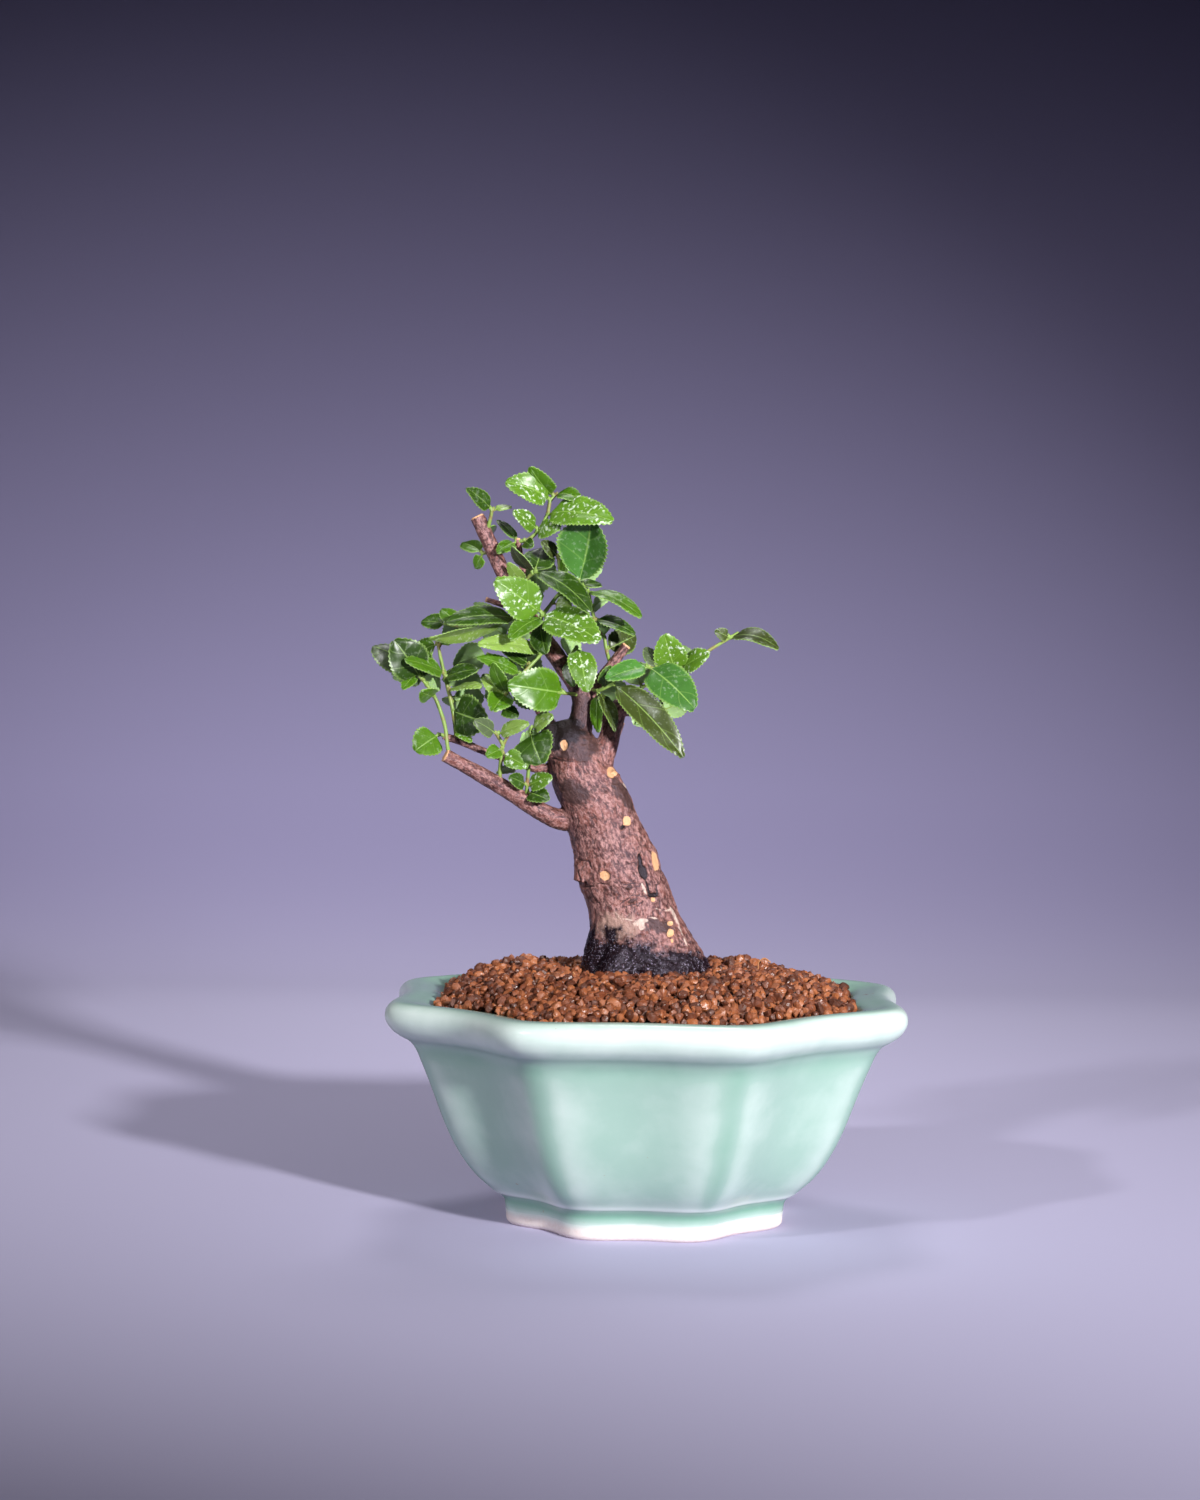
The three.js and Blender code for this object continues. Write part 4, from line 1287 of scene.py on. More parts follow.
LOWER_TWIG = Limb(
    (
        (-24, 1, 134.5, 1.9), (-33.4, 0, 133.6, 1.5), (-40, -0.5, 135.8, 1.3),
        (-47.5, -1, 137.9, 1.2), (-55.2, -1, 141, 1.15), (-61.4, -1, 143, 1.1),
    ),
    pruned=True,
)  # fmt: skip
KNOB = Limb(((-27, -1.5, 138, 5), (-29.5, -2, 143.5, 3.2), (-30, -2, 146.5, 1.4)))
BACK_BRANCH = Limb(
    ((-15, 7, 118, 3.4), (-13.6, 16, 128, 2.4), (-12, 22, 139, 1.9), (-9, 25, 147, 1.6)), True
)
HIGH_BRANCH = Limb(
    ((-21, 5, 133, 3), (-27, 12, 142, 2.1), (-34, 17, 152, 1.7), (-38, 20, 160, 1.4)), True
)
BROKEN_STUB = Limb(((-9.5, -1, 121, 4.2), (-10.2, -2, 128, 3.2), (-11.4, -3, 133.2, 1.6)))
COLLAR = Limb(((-17.5, -3, 104.5, 4.6), (-18.4, -3.4, 99.8, 3.9)))
LEFT_SWELL = Limb(((-9, -2, 92, 6), (-10.4, -2.5, 83, 7.4), (-12, -3, 72, 8)))


@dataclass(frozen=True)
class Wood:
    """The trunk, its root flare and its pruned branches, grown as one piece.

    A limb is stout over one radius, and the ridges of its bark then lie further apart. Blend is
    how far the bark of one limb runs into the next, grain_squeeze how much the grain is drawn
    out along a limb, and voxel the width of the finest form.
    """

    limbs: tuple[Limb, ...] = (
        TRUNK, RIGHT_ROOT, FRONT_ROOT, BACK_ROOT, LEADER, UPPER_TWIG, UPPER_SPUR, RIGHT_BRANCH,
        FORK, INNER_STUB, INNER_SPUR, LOWER_BRANCH, LOWER_TWIG, KNOB, BACK_BRANCH, HIGH_BRANCH,
        BROKEN_STUB, COLLAR, LEFT_SWELL,
    )  # fmt: skip
    marks: tuple[Mark, ...] = (
        Mark((-12.6, -10, 102.6), (1.41, 3.5, 1.49), MarkKind.CUT),
        Mark((-6.2, -8, 118.8), (1.26, 3.5, 1.41), MarkKind.CUT),
        Mark((-7.4, -8.5, 117.1), (0.45, 3.5, 0.97), MarkKind.SPLIT, 30),
        Mark((1.9, -3, 106.3), (1.04, 4, 3.12), MarkKind.CUT, -14),
        Mark((-1.1, -9, 98.8), (0.74, 3, 2.23), MarkKind.SCRAPE, -24),
        Mark((-2.2, -9, 107.6), (0.59, 3.5, 2.08), MarkKind.SPLIT, -18),
        Mark((-1.3, -9, 103.9), (1.19, 3.5, 2.38), MarkKind.SPLIT, -20),
        Mark((0.2, -8, 99.1), (0.45, 3.5, 2.60), MarkKind.SPLIT, -14),
        Mark((1.7, -8, 96.9), (1.49, 3.5, 0.74), MarkKind.SPLIT),
        Mark((3, -7, 98.1), (0.26, 3.5, 1.86), MarkKind.SPLIT, -10),
        Mark((1.5, -8, 95.6), (0.82, 3, 0.82), MarkKind.CUT, 30),
        Mark((-5.3, -10, 100.3), (2.60, 3.5, 0.26), MarkKind.CREASE, -8),
        Mark((-3.8, -10, 99.4), (2.01, 3.5, 0.22), MarkKind.CREASE, -14),
        Mark((-6.4, -10, 98.8), (1.49, 3.5, 0.22), MarkKind.CREASE, 24),
        Mark((-6.7, -11, 95.4), (2.45, 3.5, 0.26), MarkKind.CREASE, -34),
        Mark((-3, -11, 96.9), (2.23, 3.5, 0.26), MarkKind.CREASE, 6),
        Mark((-4.8, -11, 94.1), (2.97, 3.5, 0.22), MarkKind.CREASE, -16),
        Mark((-1.7, -11, 94.9), (1.64, 3.5, 0.22), MarkKind.CREASE, -40),
        Mark((-4.5, -11, 95.4), (1.49, 3.5, 0.67), MarkKind.CHARRED, -24),
        Mark((-5.3, -10, 99.2), (1.49, 3.5, 0.89), MarkKind.CHARRED, -10),
        Mark((-5, -10, 106.4), (1.49, 3.5, 0.22), MarkKind.CREASE, -14),
        Mark((-6.5, -10, 104.9), (0.22, 3.5, 1.11), MarkKind.CREASE, 6),
        Mark((-19.4, -7, 106.7), (2.45, 5, 0.33), MarkKind.CREASE, 8),
        Mark((-17.4, -8, 105.5), (0.30, 5, 1.49), MarkKind.CREASE, -26),
        Mark((-20.5, -7, 102.1), (0.30, 5, 2.23), MarkKind.CREASE, -20),
        Mark((-18.4, -8, 100), (0.30, 5, 1.71), MarkKind.CREASE, -24),
        Mark((-18.2, -8, 98.8), (2.60, 5, 0.33), MarkKind.CREASE, -12),
        Mark((-13.4, -11, 100.1), (2.60, 4, 0.22), MarkKind.CREASE, -4),
        Mark((-13.7, -12, 96.2), (0.19, 4, 1.86), MarkKind.SCRAPE, -50),
        Mark((-11.1, -12, 93.7), (0.19, 4, 2.01), MarkKind.SCRAPE, -42),
        Mark((-9, -12, 91.2), (0.22, 4, 1.86), MarkKind.SCRAPE, -38),
        Mark((-5.9, -12, 89.9), (2.23, 4, 0.45), MarkKind.SCRAPE, 10),
        Mark((-2.2, -12, 89.2), (2.60, 4, 1.11), MarkKind.SCRAPE, -14),
        Mark((-1.6, -12, 87.6), (1.26, 4, 0.97), MarkKind.SCRAPE, -20),
        Mark((1.5, -11, 90.3), (1.71, 4, 0.37), MarkKind.SCRAPE, 10),
        Mark((3.7, -10, 92.6), (2.60, 4, 0.22), MarkKind.SCRAPE, 18),
        Mark((6.2, -8, 92.3), (1.86, 5, 0.52), MarkKind.SCRAPE),
        Mark((7.9, -6, 90.8), (0.59, 5, 3.35), MarkKind.SCRAPE, -26),
        Mark((9.6, -6, 87.1), (0.33, 5, 3.35), MarkKind.SCRAPE, -20),
        Mark((11.2, -6, 83), (0.45, 5, 2.23), MarkKind.SCRAPE, -22),
        Mark((6.6, -9, 88.5), (0.82, 3, 0.74), MarkKind.CUT),
        Mark((6.5, -9, 85.7), (1.11, 3, 1.41), MarkKind.CUT, 20),
        Mark((7.1, -9, 83.5), (0.45, 3, 0.89), MarkKind.CUT, -14),
        Mark((-10.3, -12, 87.5), (8.55, 7, 4.46), MarkKind.FADED),
        Mark((3, -10, 87.8), (4.83, 5, 2.23), MarkKind.CHARRED, 20),
        Mark((-22.2, -8, 126.9), (5.58, 6, 4.09), MarkKind.CHARRED, 30),
        Mark((-7.6, -5, 126.6), (2.23, 6, 7.06), MarkKind.CHARRED, -36),
        Mark((-10.7, -4, 133.2), (2.23, 4, 1.64), MarkKind.CUT, -50),
        Mark((-7.1, -4, 128.7), (0.45, 4, 1.64), MarkKind.SCRAPE, -36),
        # painted shade: the crown's shadow on the knob, the top of the trunk and the leader's foot
        Mark((-27, -2, 144), (8, 7, 6), MarkKind.SCORCH),
        Mark((-21.5, -5, 140.5), (8, 7, 5.5), MarkKind.CHARRED),
        Mark((-20.4, -3, 150), (4.5, 5, 9), MarkKind.CHARRED),
        Mark((-25.2, -7.5, 140.8), (1.1, 3, 1.5), MarkKind.CUT),
        Mark((-24.5, -5, 136.2), (6, 5, 0.4), MarkKind.CREASE, 6),
    )
    stout: float = 5.0
    stout_ridges: float = 1.7
    thin_ridges: float = 1.0
    grain_squeeze: float = 0.55
    blend: float = 0.9
    crust_top: float = 86.0
    voxel: float = 0.44
    smoothing: int = 5

    def lines(self) -> list[np.ndarray]:
        """The smooth centre line of each limb, with its radius."""
        return [smooth_line(np.array(limb.knots, float), self.smoothing) for limb in self.limbs]

    def cast(self) -> bpy.types.Mesh:
        """Runs all the limbs together into one closed skin.

        Returns:
            The mesh, in millimetres, before its bark.
        """
        rough = bpy.data.meshes.new("wood_cast")
        skin = Skin()
        for limb, line in zip(self.limbs, self.lines()):
            skin.tube(line, 32 if line[:, 3].max() > self.stout else 16)
            skin.points[-1][:, 1] *= limb.flat
        corners = [tuple(face) for block, _ in skin.faces for face in block.tolist()]
        rough.from_pydata(np.vstack(skin.points).tolist(), [], corners)
        caster = bpy.data.objects.new("wood_cast", rough)
        bpy.context.scene.collection.objects.link(caster)
        remesh = caster.modifiers.new("cast", "REMESH")
        remesh.mode = "VOXEL"
        remesh.voxel_size = self.voxel
        graph = bpy.context.evaluated_depsgraph_get()
        mesh = bpy.data.meshes.new_from_object(caster.evaluated_get(graph))
        bpy.data.objects.remove(caster)
        bpy.data.meshes.remove(rough)
        return mesh

    def beside(
        self, line: np.ndarray, points: np.ndarray
    ) -> tuple[np.ndarray, np.ndarray, np.ndarray]:
        """Places points beside a limb.

        Args:
            line: the limb's centre line.
            points: places on the wood.

        Returns:
            For each point the nearest step of the line, how far ahead of that step it lies
            along the limb, and its offset across the limb.
        """
        spots = line[:, :3]
        near = np.linalg.norm(points[:, None] - spots[None], axis=2).argmin(axis=1)
        along = unit(np.gradient(spots, axis=0))[near]
        offset = points - spots[near]
        ahead = np.einsum("ij,ij->i", offset, along)
        return near, ahead, offset - ahead[:, None] * along

    def survey(self, points: np.ndarray) -> tuple[np.ndarray, np.ndarray, np.ndarray, np.ndarray]:
        """Finds how the grain runs at each point of the skin.

        Args:
            points: places on the wood.

        Returns:
            The groove depth from 0 to 1, a place stretched along the grain, the radius of the
            limb there, and how surely the point lies on a pruned end.
        """
        total = np.zeros(len(points))
        weights = np.zeros(len(points))
        best = np.zeros(len(points))
        stretched = np.zeros((len(points), 3))
        girth = np.ones(len(points))
        ends = np.zeros(len(points))
        for number, (limb, line) in enumerate(zip(self.limbs, self.lines())):
            spots = line[:, :3]
            near, ahead, across = self.beside(line, points)
            run = np.concatenate([[0], np.cumsum(np.linalg.norm(np.diff(spots, axis=0), axis=1))])
            radius = line[near, 3]
            from_axis = np.linalg.norm(across, axis=1)
            outside = np.maximum(from_axis - radius, 0)
            past = np.where(near == len(spots) - 1, np.maximum(ahead, 0), 0)
            before = np.where(near == 0, np.maximum(-ahead, 0), 0)
            weight = np.exp(-(((outside + past + before) / self.blend) ** 2)) + 1e-9
            axis = unit(spots[-1] - spots[0])
            run_there = (run[near] + ahead)[:, None]
            place = across + run_there * self.grain_squeeze * axis + number * 9.0
            pitch = self.stout_ridges if radius.max() > self.stout else self.thin_ridges
            ridges = 1 - np.abs(grain(place, pitch, number)) * 1.6
            minor = 1 - np.abs(grain(place, pitch * 0.45, number + 5)) * 1.6
            total += weight * (0.62 * ridges + 0.38 * minor)
            weights += weight
            chosen = weight > best
            best = np.where(chosen, weight, best)
            stretched[chosen] = place[chosen]
            girth[chosen] = radius[chosen]
            if limb.pruned:
                end_gap = np.abs((points - spots[-1]) @ unit(spots[-1] - spots[-2]))
                capped = (end_gap < 0.45) & (from_axis < line[-1, 3] + 0.3)
                ends = np.maximum(ends, capped.astype(float))
        return total / weights, stretched, girth, ends

    def relief(
        self, points: np.ndarray, stretched: np.ndarray, girth: np.ndarray, groove: np.ndarray
    ) -> np.ndarray:
        """How far the bark stands out at each point, before its marks.

        Args:
            points: places on the wood.
            stretched: the same places stretched along the grain.
            girth: the radius of the limb at each.
            groove: the groove depth at each, from 0 to 1.

        Returns:
            Lumps, crumbs and sunk grooves, all lower on thin limbs, with a rougher crust on
            the wet root stock.
        """
        stout = np.clip(girth / 12, 0.16, 1)
        lumps = grain(points, 9, 8) * 0.55 + grain(points, 4.2, 9) * 0.3
        crumbs = grain(stretched, 1.0, 21) * 0.16 + grain(points, 1.7, 22) * 0.16
        crust = np.clip((self.crust_top - points[:, 2]) / 6, 0, 1)
        crumbs += crust * (grain(points, 1.0, 31) * 0.4 + grain(points, 2.6, 32) * 0.2)
        sunk = np.clip(groove - 0.35, 0, 1) ** 2 * 0.75
        return lumps * stout + (crumbs - sunk) * stout**0.6

    def marked(
        self, points: np.ndarray, depth: np.ndarray, ends: np.ndarray
    ) -> tuple[np.ndarray, dict[str, np.ndarray]]:
        """Presses the marks into the bark.

        Args:
            points: places on the wood.
            depth: how far the bark stands out at each.
            ends: how surely each lies on a pruned end.

        Returns:
            The new depths, and for each colour of mark how strongly it shows.
        """
        masks = {name: np.zeros(len(points)) for name in MARK_MASKS}
        masks["raw"] = ends.copy()
        rough_edge = grain(points, 1.1, 12)
        for mark in self.marks:
            away = mark.away(points)
            name, rise = mark.kind.value
            if name in ("darkened_and_shaded", "faded"):
                strength = np.clip(1.25 - away - rough_edge * 0.25, 0, 1)
            else:
                strength = np.clip((1.25 - away - rough_edge * 0.16) / 0.5, 0, 1)
            masks[name] = np.maximum(masks[name], strength)
            depth = depth * (1 - strength * 0.6) + rise * strength
            if mark.kind is MarkKind.CUT:
                depth += 0.35 * np.exp(-(((away - 1.35) / 0.28) ** 2))
        return depth, masks

    def build(self, bark: bpy.types.Material) -> bpy.types.Object:
        """Casts the wood and raises its bark.

        Args:
            bark: the material of the whole wood.

        Returns:
            The wood, standing for the plain one.
        """
        mesh = self.cast()
        points = np.zeros((len(mesh.vertices), 3))
        mesh.vertices.foreach_get("co", points.ravel())
        normals = np.zeros((len(mesh.vertices), 3))
        mesh.vertex_normals.foreach_get("vector", normals.ravel())
        groove, stretched, girth, ends = self.survey(points)
        depth = self.relief(points, stretched, girth, groove)
        depth, masks = self.marked(points, depth, ends)
        points += normals * (depth * (1 - ends))[:, None]
        mesh.vertices.foreach_set("co", to_frame(points).astype(np.float32).ravel())
        mesh.polygons.foreach_set("use_smooth", np.ones(len(mesh.polygons), bool))
        mesh.materials.clear()
        mesh.materials.append(bark)
        mesh.update()
        carry(mesh, "groove", np.clip(groove, 0, 1))
        for name, mask in masks.items():
            carry(mesh, name, mask)
        carry(mesh, "grain_place", stretched * METRES)
        mesh.name = "bark_and_wood"
        piece = settle(bpy.data.objects.new("bark_and_wood", mesh))
        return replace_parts(piece, "trunk")


@dataclass(frozen=True)
class Leaf:
    """A leaf as it grows: where it leaves its stem, its tip, its real width and its colour.

    Roll turns its face from the viewer towards the sky, fold lifts its halves from the midrib
    and bow arches the midrib, as a share of its length. Facing is -1 for a leaf that looks away.
    Shoulder is under 1 where the blade is widest near its stalk and over 1 near its tip.
    """

    start: Place
    tip: Place
    width: float
    tone: Tone
    roll: float = 30
    fold: float = 12
    bow: float = 0.08
    facing: int = 1
    shoulder: float = 0.9


@dataclass(frozen=True)
class Shoot:
    """A leafy stem, named as its solid is."""

    name: str
    stems: tuple[tuple[Place, ...], ...]
    leaves: tuple[Leaf, ...]


def back_leaf(start: Place, tip: Place, width: float, tone: Tone, roll: float = 30) -> Leaf:
    """A leaf that looks away from the viewer."""
    return Leaf(start, tip, width, tone, roll, facing=-1)


SHOOTS = (
    Shoot(
        "shoot_crown",
        stems=(
            (
                (-39.9, 0, 201), (-37, -1, 201.4), (-34.3, -1.5, 203.4),
                (-31, -2, 209), (-30.2, -2, 213.2),
            ),
            ((-30.2, -2, 213.2), (-28.6, -1.5, 214.8)),
        ),
        leaves=(
            Leaf((-30.8, -2.5, 213.4), (-43.3, -8, 218.2), 9.5, Tone.SPOTTED, 25, 20, 0.16),
            Leaf((-28.7, -3.2, 214.4), (-36, -8, 222.7), 7, Tone.LIME, -25, 10, 0.08),
            Leaf((-27, -2.6, 214.8), (-20.6, -6, 212.9), 6, Tone.LIME, 50, 10, 0.12),
            Leaf((-29.8, -3.5, 208.8), (-11.3, -14, 206.8), 11.5, Tone.SPOTTED, 38, 14, 0.1),
            Leaf((-34.6, -2.6, 204.8), (-40.8, -8, 209.6), 5.8, Tone.SPOTTED, 30, 12, 0.05),
            Leaf((-35.4, -3, 204.3), (-27, -9, 205.1), 6, Tone.SPOTTED),
            Leaf((-40.4, 0.8, 202.6), (-46.2, 5, 207.4), 4.4, Tone.DARK, 50, 10, 0.05),
            Leaf((-40.6, -1, 201.6), (-45.8, -5, 197.6), 4.4, Tone.LIME, 30, 10, 0.05),
            Leaf((-38.2, -1.4, 201.2), (-35, -6, 199.2), 3.8, Tone.DARK, 10, 10, 0.05),
        ),
    ),
    Shoot(
        "shoot_tip",
        stems=(((-49.2, 0, 203), (-48, -1.5, 207), (-47.4, -2, 210)),),
        leaves=(
            Leaf((-47.8, -2.2, 210.2), (-54.8, -6, 216.4), 6.2, Tone.DARK, 45, 12, 0.06),
            Leaf((-47, -2, 210.2), (-41.6, 0, 211.4), 3.4, Tone.PALE, 60, 8, 0.05),
            Leaf((-48.6, -1, 205.6), (-48.4, 8, 202.6), 4.6, Tone.MID, 40, 8, 0.05),
        ),
    ),
    Shoot(
        "shoot_stub",
        stems=(((-46.2, 0, 196.4), (-48.6, 0.5, 197.6), (-50.2, 1, 197.4)),),
        leaves=(
            Leaf((-50, 1.2, 197.4), (-52.6, 4, 192.8), 4, Tone.MID, 20, 10, 0.05),
            Leaf((-50.4, 1.4, 198), (-57, 8, 200.5), 5.6, Tone.MID, 40, 10, 0.08),
        ),
    ),
    Shoot(
        "shoot_upper_right",
        stems=(
            (
                (-34.4, 0, 176), (-30, -2, 182), (-26, -3, 186.6),
                (-21.6, -4, 188.4), (-18.8, -3, 186.4),
            ),
            ((-26, -3, 186.6), (-27, -1, 192), (-27.6, -0.6, 196.2)),
            ((-18.8, -3, 186.4), (-17.4, -1.4, 181), (-16.8, -0.6, 178)),
        ),
        leaves=(
            Leaf(
                (-22.2, -5, 189.6), (-17.9, -10, 207.2), 16.4, Tone.BLUISH, -22, 34, -0.08,
                shoulder=1.35,
            ),
            Leaf((-27.8, -0.4, 196.6), (-32.6, -4, 201), 4.8, Tone.OLIVE, 40, 10, 0.05),
            Leaf((-26.4, -2.4, 190.8), (-24.8, -2.6, 196.8), 5.4, Tone.MID, -50, 10, 0.05),
            Leaf((-18.8, -4, 186.4), (-2.6, -12, 178.8), 7.4, Tone.MID, 60, 14, 0.08),
            Leaf((-20.6, -2.6, 188.2), (-14.8, 2, 188.4), 5, Tone.DARK, 60, 10, 0.08),
            Leaf((-16.6, -0.6, 177.8), (-4.4, -4, 173.8), 6, Tone.DARK, 50, 16, 0.08),
            Leaf((-29.6, -2.4, 183), (-23.4, -3.4, 181.6), 6.4, Tone.PALE, 16, 12, 0.05),
            back_leaf((-22, -2.6, 187.6), (-15, 10, 193.4), 8.5, Tone.MID, 40),
            back_leaf((-17.6, -0.6, 181.6), (-11.7, 8, 184.9), 5, Tone.MID, 40),
        ),
    ),
    Shoot(
        "shoot_upper_front",
        stems=(((-38.2, 0, 187), (-36.4, -2, 190.4), (-34.4, -3.6, 192)),),
        leaves=(
            Leaf((-34.2, -4, 191.8), (-17.5, -13, 180.2), 10.5, Tone.DARK, 52, 16, 0.1),
            Leaf((-35.4, -3, 192), (-41, -10, 199.2), 6.2, Tone.GREY, -60, 8, 0.04),
            Leaf((-37.4, -1, 188.4), (-42.4, -5.6, 194.6), 4.4, Tone.PALE, -30, 8, 0.05),
            Leaf((-34.4, -3.2, 192.4), (-32.4, 4.4, 199.2), 9.5, Tone.DARK, -10, 10, 0.06),
        ),
    ),
    Shoot(
        "shoot_mid_front",
        stems=(((-33.6, 0, 174.6), (-32.6, -3, 177), (-32.2, -5, 179.6)),),
        leaves=(
            Leaf(
                (-32.4, -5.4, 180.6), (-45.7, -14, 189.3), 11.8, Tone.SPOTTED, 6, 12, 0.08,
                shoulder=0.8,
            ),
            Leaf((-31.8, -5, 178.8), (-14.8, -15, 171.8), 12.4, Tone.SPOTTED, 34),
            Leaf((-33, -4.6, 177.8), (-41.2, -16, 172.2), 7, Tone.MID, 40),
            Leaf((-32.6, -3.4, 177), (-30.7, -10, 167.8), 7.8, Tone.DARK, -30, 12, 0.06),
        ),
    ),
    Shoot(
        "shoot_upper_left",
        stems=(
            (
                (-36.6, 0, 179), (-40, -2, 178), (-50, -3, 175.8),
                (-58.4, -2, 175.8), (-61, -1, 176.4),
            ),
        ),
        leaves=(
            Leaf((-40, -3, 178.4), (-60, -12, 176.8), 9, Tone.DARK, 52, 10, 0.08),
            Leaf((-42, -2.6, 177.4), (-65.2, -12, 171.8), 7.6, Tone.PALE, -64, 22, 0.02),
            Leaf((-60.6, -1.4, 176.2), (-68.4, 2, 176.8), 6, Tone.DARK, 40, 12, 0.06),
            Leaf((-57, -1.6, 176.4), (-62.6, 3, 180.6), 5.4, Tone.LIME, 30, 12, 0.06),
            back_leaf((-49, -2, 176.8), (-53, 10, 182), 8, Tone.MID, 20),
            back_leaf((-42, -2, 177.6), (-43, 11, 174.6), 9, Tone.DARK),
            back_leaf((-55, -1, 176), (-62, 10, 172), 8, Tone.MID, 20),
        ),
    ),
    Shoot(
        "shoot_mid_left",
        stems=(
            (
                (-30.4, 0, 170), (-33, -3, 167), (-38, -5, 161.4),
                (-42.4, -6, 156), (-44.6, -6.6, 151.6),
            ),
        ),
        leaves=(
            Leaf((-38.8, -5.4, 162.2), (-51.2, -9, 166.6), 5.8, Tone.MID, 46),
            Leaf((-43, -6, 156.6), (-46.2, -12, 165), 5.4, Tone.MID, -30, 10, 0.06),
            Leaf((-43.4, -5.6, 155), (-49.8, -4, 161.4), 6, Tone.PALE, 30, 12, 0.06),
            Leaf((-42.4, -6, 155.6), (-46, -15, 151), 7.4, Tone.MID, 20, 12, 0.06),
            Leaf((-36, -3.6, 164.6), (-44, -5, 168.8), 5, Tone.DARK, 50, 10, 0.05),
            Leaf((-33, -2.6, 167.4), (-37.8, 4, 168.2), 6, Tone.DARK, 50, 10, 0.05),
            Leaf((-31.6, -1.4, 169), (-50.8, -14, 170.4), 7, Tone.PALE, 46, 12, 0.06),
            Leaf((-40, -4.4, 158.4), (-33, -3, 152), 8, Tone.DARK, 10, 12, 0.06),
            Leaf((-44.6, -6.6, 151.8), (-38.6, -9, 149.4), 4.6, Tone.DARK, 30, 10, 0.05),
            back_leaf((-36.6, -3, 163), (-43, 9, 160), 9, Tone.MID),
            back_leaf((-42, -5, 157), (-49, 6, 154), 9, Tone.DARK, 20),
        ),
    ),
    Shoot(
        "shoot_lime",
        stems=(((-20.4, 0, 155.4), (-23.4, -5, 156), (-27.4, -9, 156.4)),),
        leaves=(
            Leaf((-23.3, -8.6, 157.2), (-41.6, -17, 158.6), 12.8, Tone.LIME, 6, 14, 0.08),
            Leaf((-25.4, -7, 156.4), (-33.6, -8, 163), 4.4, Tone.SPOTTED, 40, 10, 0.05),
        ),
    ),
    Shoot(
        "shoot_far_left",
        stems=(
            (
                (-58.8, -8.4, 136.4), (-59.8, -7, 141), (-60.4, -6, 145.4), (-61.6, -5, 149.4),
                (-64, -4.4, 155), (-67.4, -4, 159.6), (-71.4, -4, 163.4),
            ),
        ),
        leaves=(
            Leaf((-67.4, -4.6, 161.4), (-75.6, -10, 171.4), 12.4, Tone.DARK, 16, 12, 0.1),
            Leaf((-65.6, -3, 160.4), (-69.6, 4, 170), 7.6, Tone.DARK, 20, 12, 0.06),
            Leaf((-71.8, -3.6, 163.4), (-82.6, -3, 169.4), 9, Tone.GREY, 34, -20, 0.14),
            Leaf((-69.4, -4.2, 161.4), (-73, -9, 156.8), 4, Tone.LIME, 20, 10, 0.05),
            Leaf((-63.8, -5.6, 155), (-67.4, -12, 156.4), 6, Tone.MID, -20, 10, 0.06),
            back_leaf((-67, -3.6, 160), (-74, 6, 166), 8, Tone.MID, 40),
            back_leaf((-66, -3, 158), (-64, 8, 163), 8.4, Tone.DARK, 20),
            back_leaf((-69, -3.4, 161.4), (-77, 5, 160.6), 9, Tone.MID),
        ),
    ),
    Shoot(
        "shoot_left",
        stems=(
            (
                (-57.4, -1, 141.8), (-58.2, -1, 148.2), (-59.8, -0.6, 155.8),
                (-61.2, 0, 161), (-62.4, 1, 165.8), (-63.4, 2, 170.4),
            ),
        ),
        leaves=(
            Leaf((-60, -1.4, 160.6), (-50.8, -7, 163), 6.2, Tone.DARK, 44, 12, 0.06),
            Leaf((-59.6, -1.6, 157), (-49.6, -10, 158.2), 5.6, Tone.PALE, 72, 10, 0.05),
            Leaf((-58.4, -1, 150.6), (-48, -7, 147.4), 13, Tone.DARK, -8),
            Leaf((-57.8, -1, 144.4), (-52.6, -8, 141.6), 3.8, Tone.SPOTTED, 50, 8, 0.04),
            Leaf((-63, 1.6, 169.6), (-58.6, 5, 173), 5, Tone.MID, 40, 10, 0.06),
            Leaf((-63.6, 2.4, 170.6), (-72, 8, 166), 7, Tone.MID, 30, 10, 0.06),
            back_leaf((-60.6, 1, 162), (-51, 11, 157), 9, Tone.MID),
            back_leaf((-58.6, 0.4, 153), (-50, 9, 154), 9, Tone.DARK),
            back_leaf((-59.6, 0.4, 155), (-56, 9, 150), 8, Tone.MID),
            Leaf((-61.7, 0, 161.4), (-72, -12, 165.6), 6.6, Tone.MID, 50, 10, 0.05),
        ),
    ),
    Shoot(
        "shoot_twig_end",
        stems=(((-60.2, -1, 142.6), (-62.4, -2.4, 143.4), (-64, -3, 142.6)),),
        leaves=(
            Leaf((-62.2, -3, 146), (-69.3, -7, 138.7), 9.8, Tone.MID, 14),
            Leaf((-64.2, -2.4, 143), (-70, 6, 140), 6, Tone.MID, 40, 12, 0.06),
        ),
    ),
    Shoot(
        "shoot_low_left",
        stems=(
            ((-44.2, -5.4, 128.6), (-44, -6.4, 135), (-43.2, -7, 140.6), (-41.2, -7.6, 144.6)),
            ((-43.2, -7, 140.6), (-45, -8, 143.8)),
        ),
        leaves=(
            Leaf((-45.4, -8, 144), (-51.6, -12, 148), 5.8, Tone.GREY, 40, 10, 0.05),
            Leaf((-44.7, -8, 144.3), (-35.4, -13, 147.5), 5, Tone.PALE, 40, 10, 0.05),
            Leaf((-43.8, -7.4, 139.8), (-48, -11, 137.4), 4.6, Tone.MID, 20, 10, 0.05),
            Leaf((-43, -7.6, 138), (-35.6, -12, 134.5), 5.6, Tone.SPOTTED, 10, 10, 0.05),
            Leaf((-44.6, -6, 134), (-40, 2, 133), 6.6, Tone.MID, 40, 10, 0.06, facing=-1),
        ),
    ),
    Shoot(
        "shoot_low_front",
        stems=(((-36.6, -3.8, 122.8), (-36, -5.6, 130), (-35.4, -6, 138), (-35.2, -6.6, 145.4)),),
        leaves=(
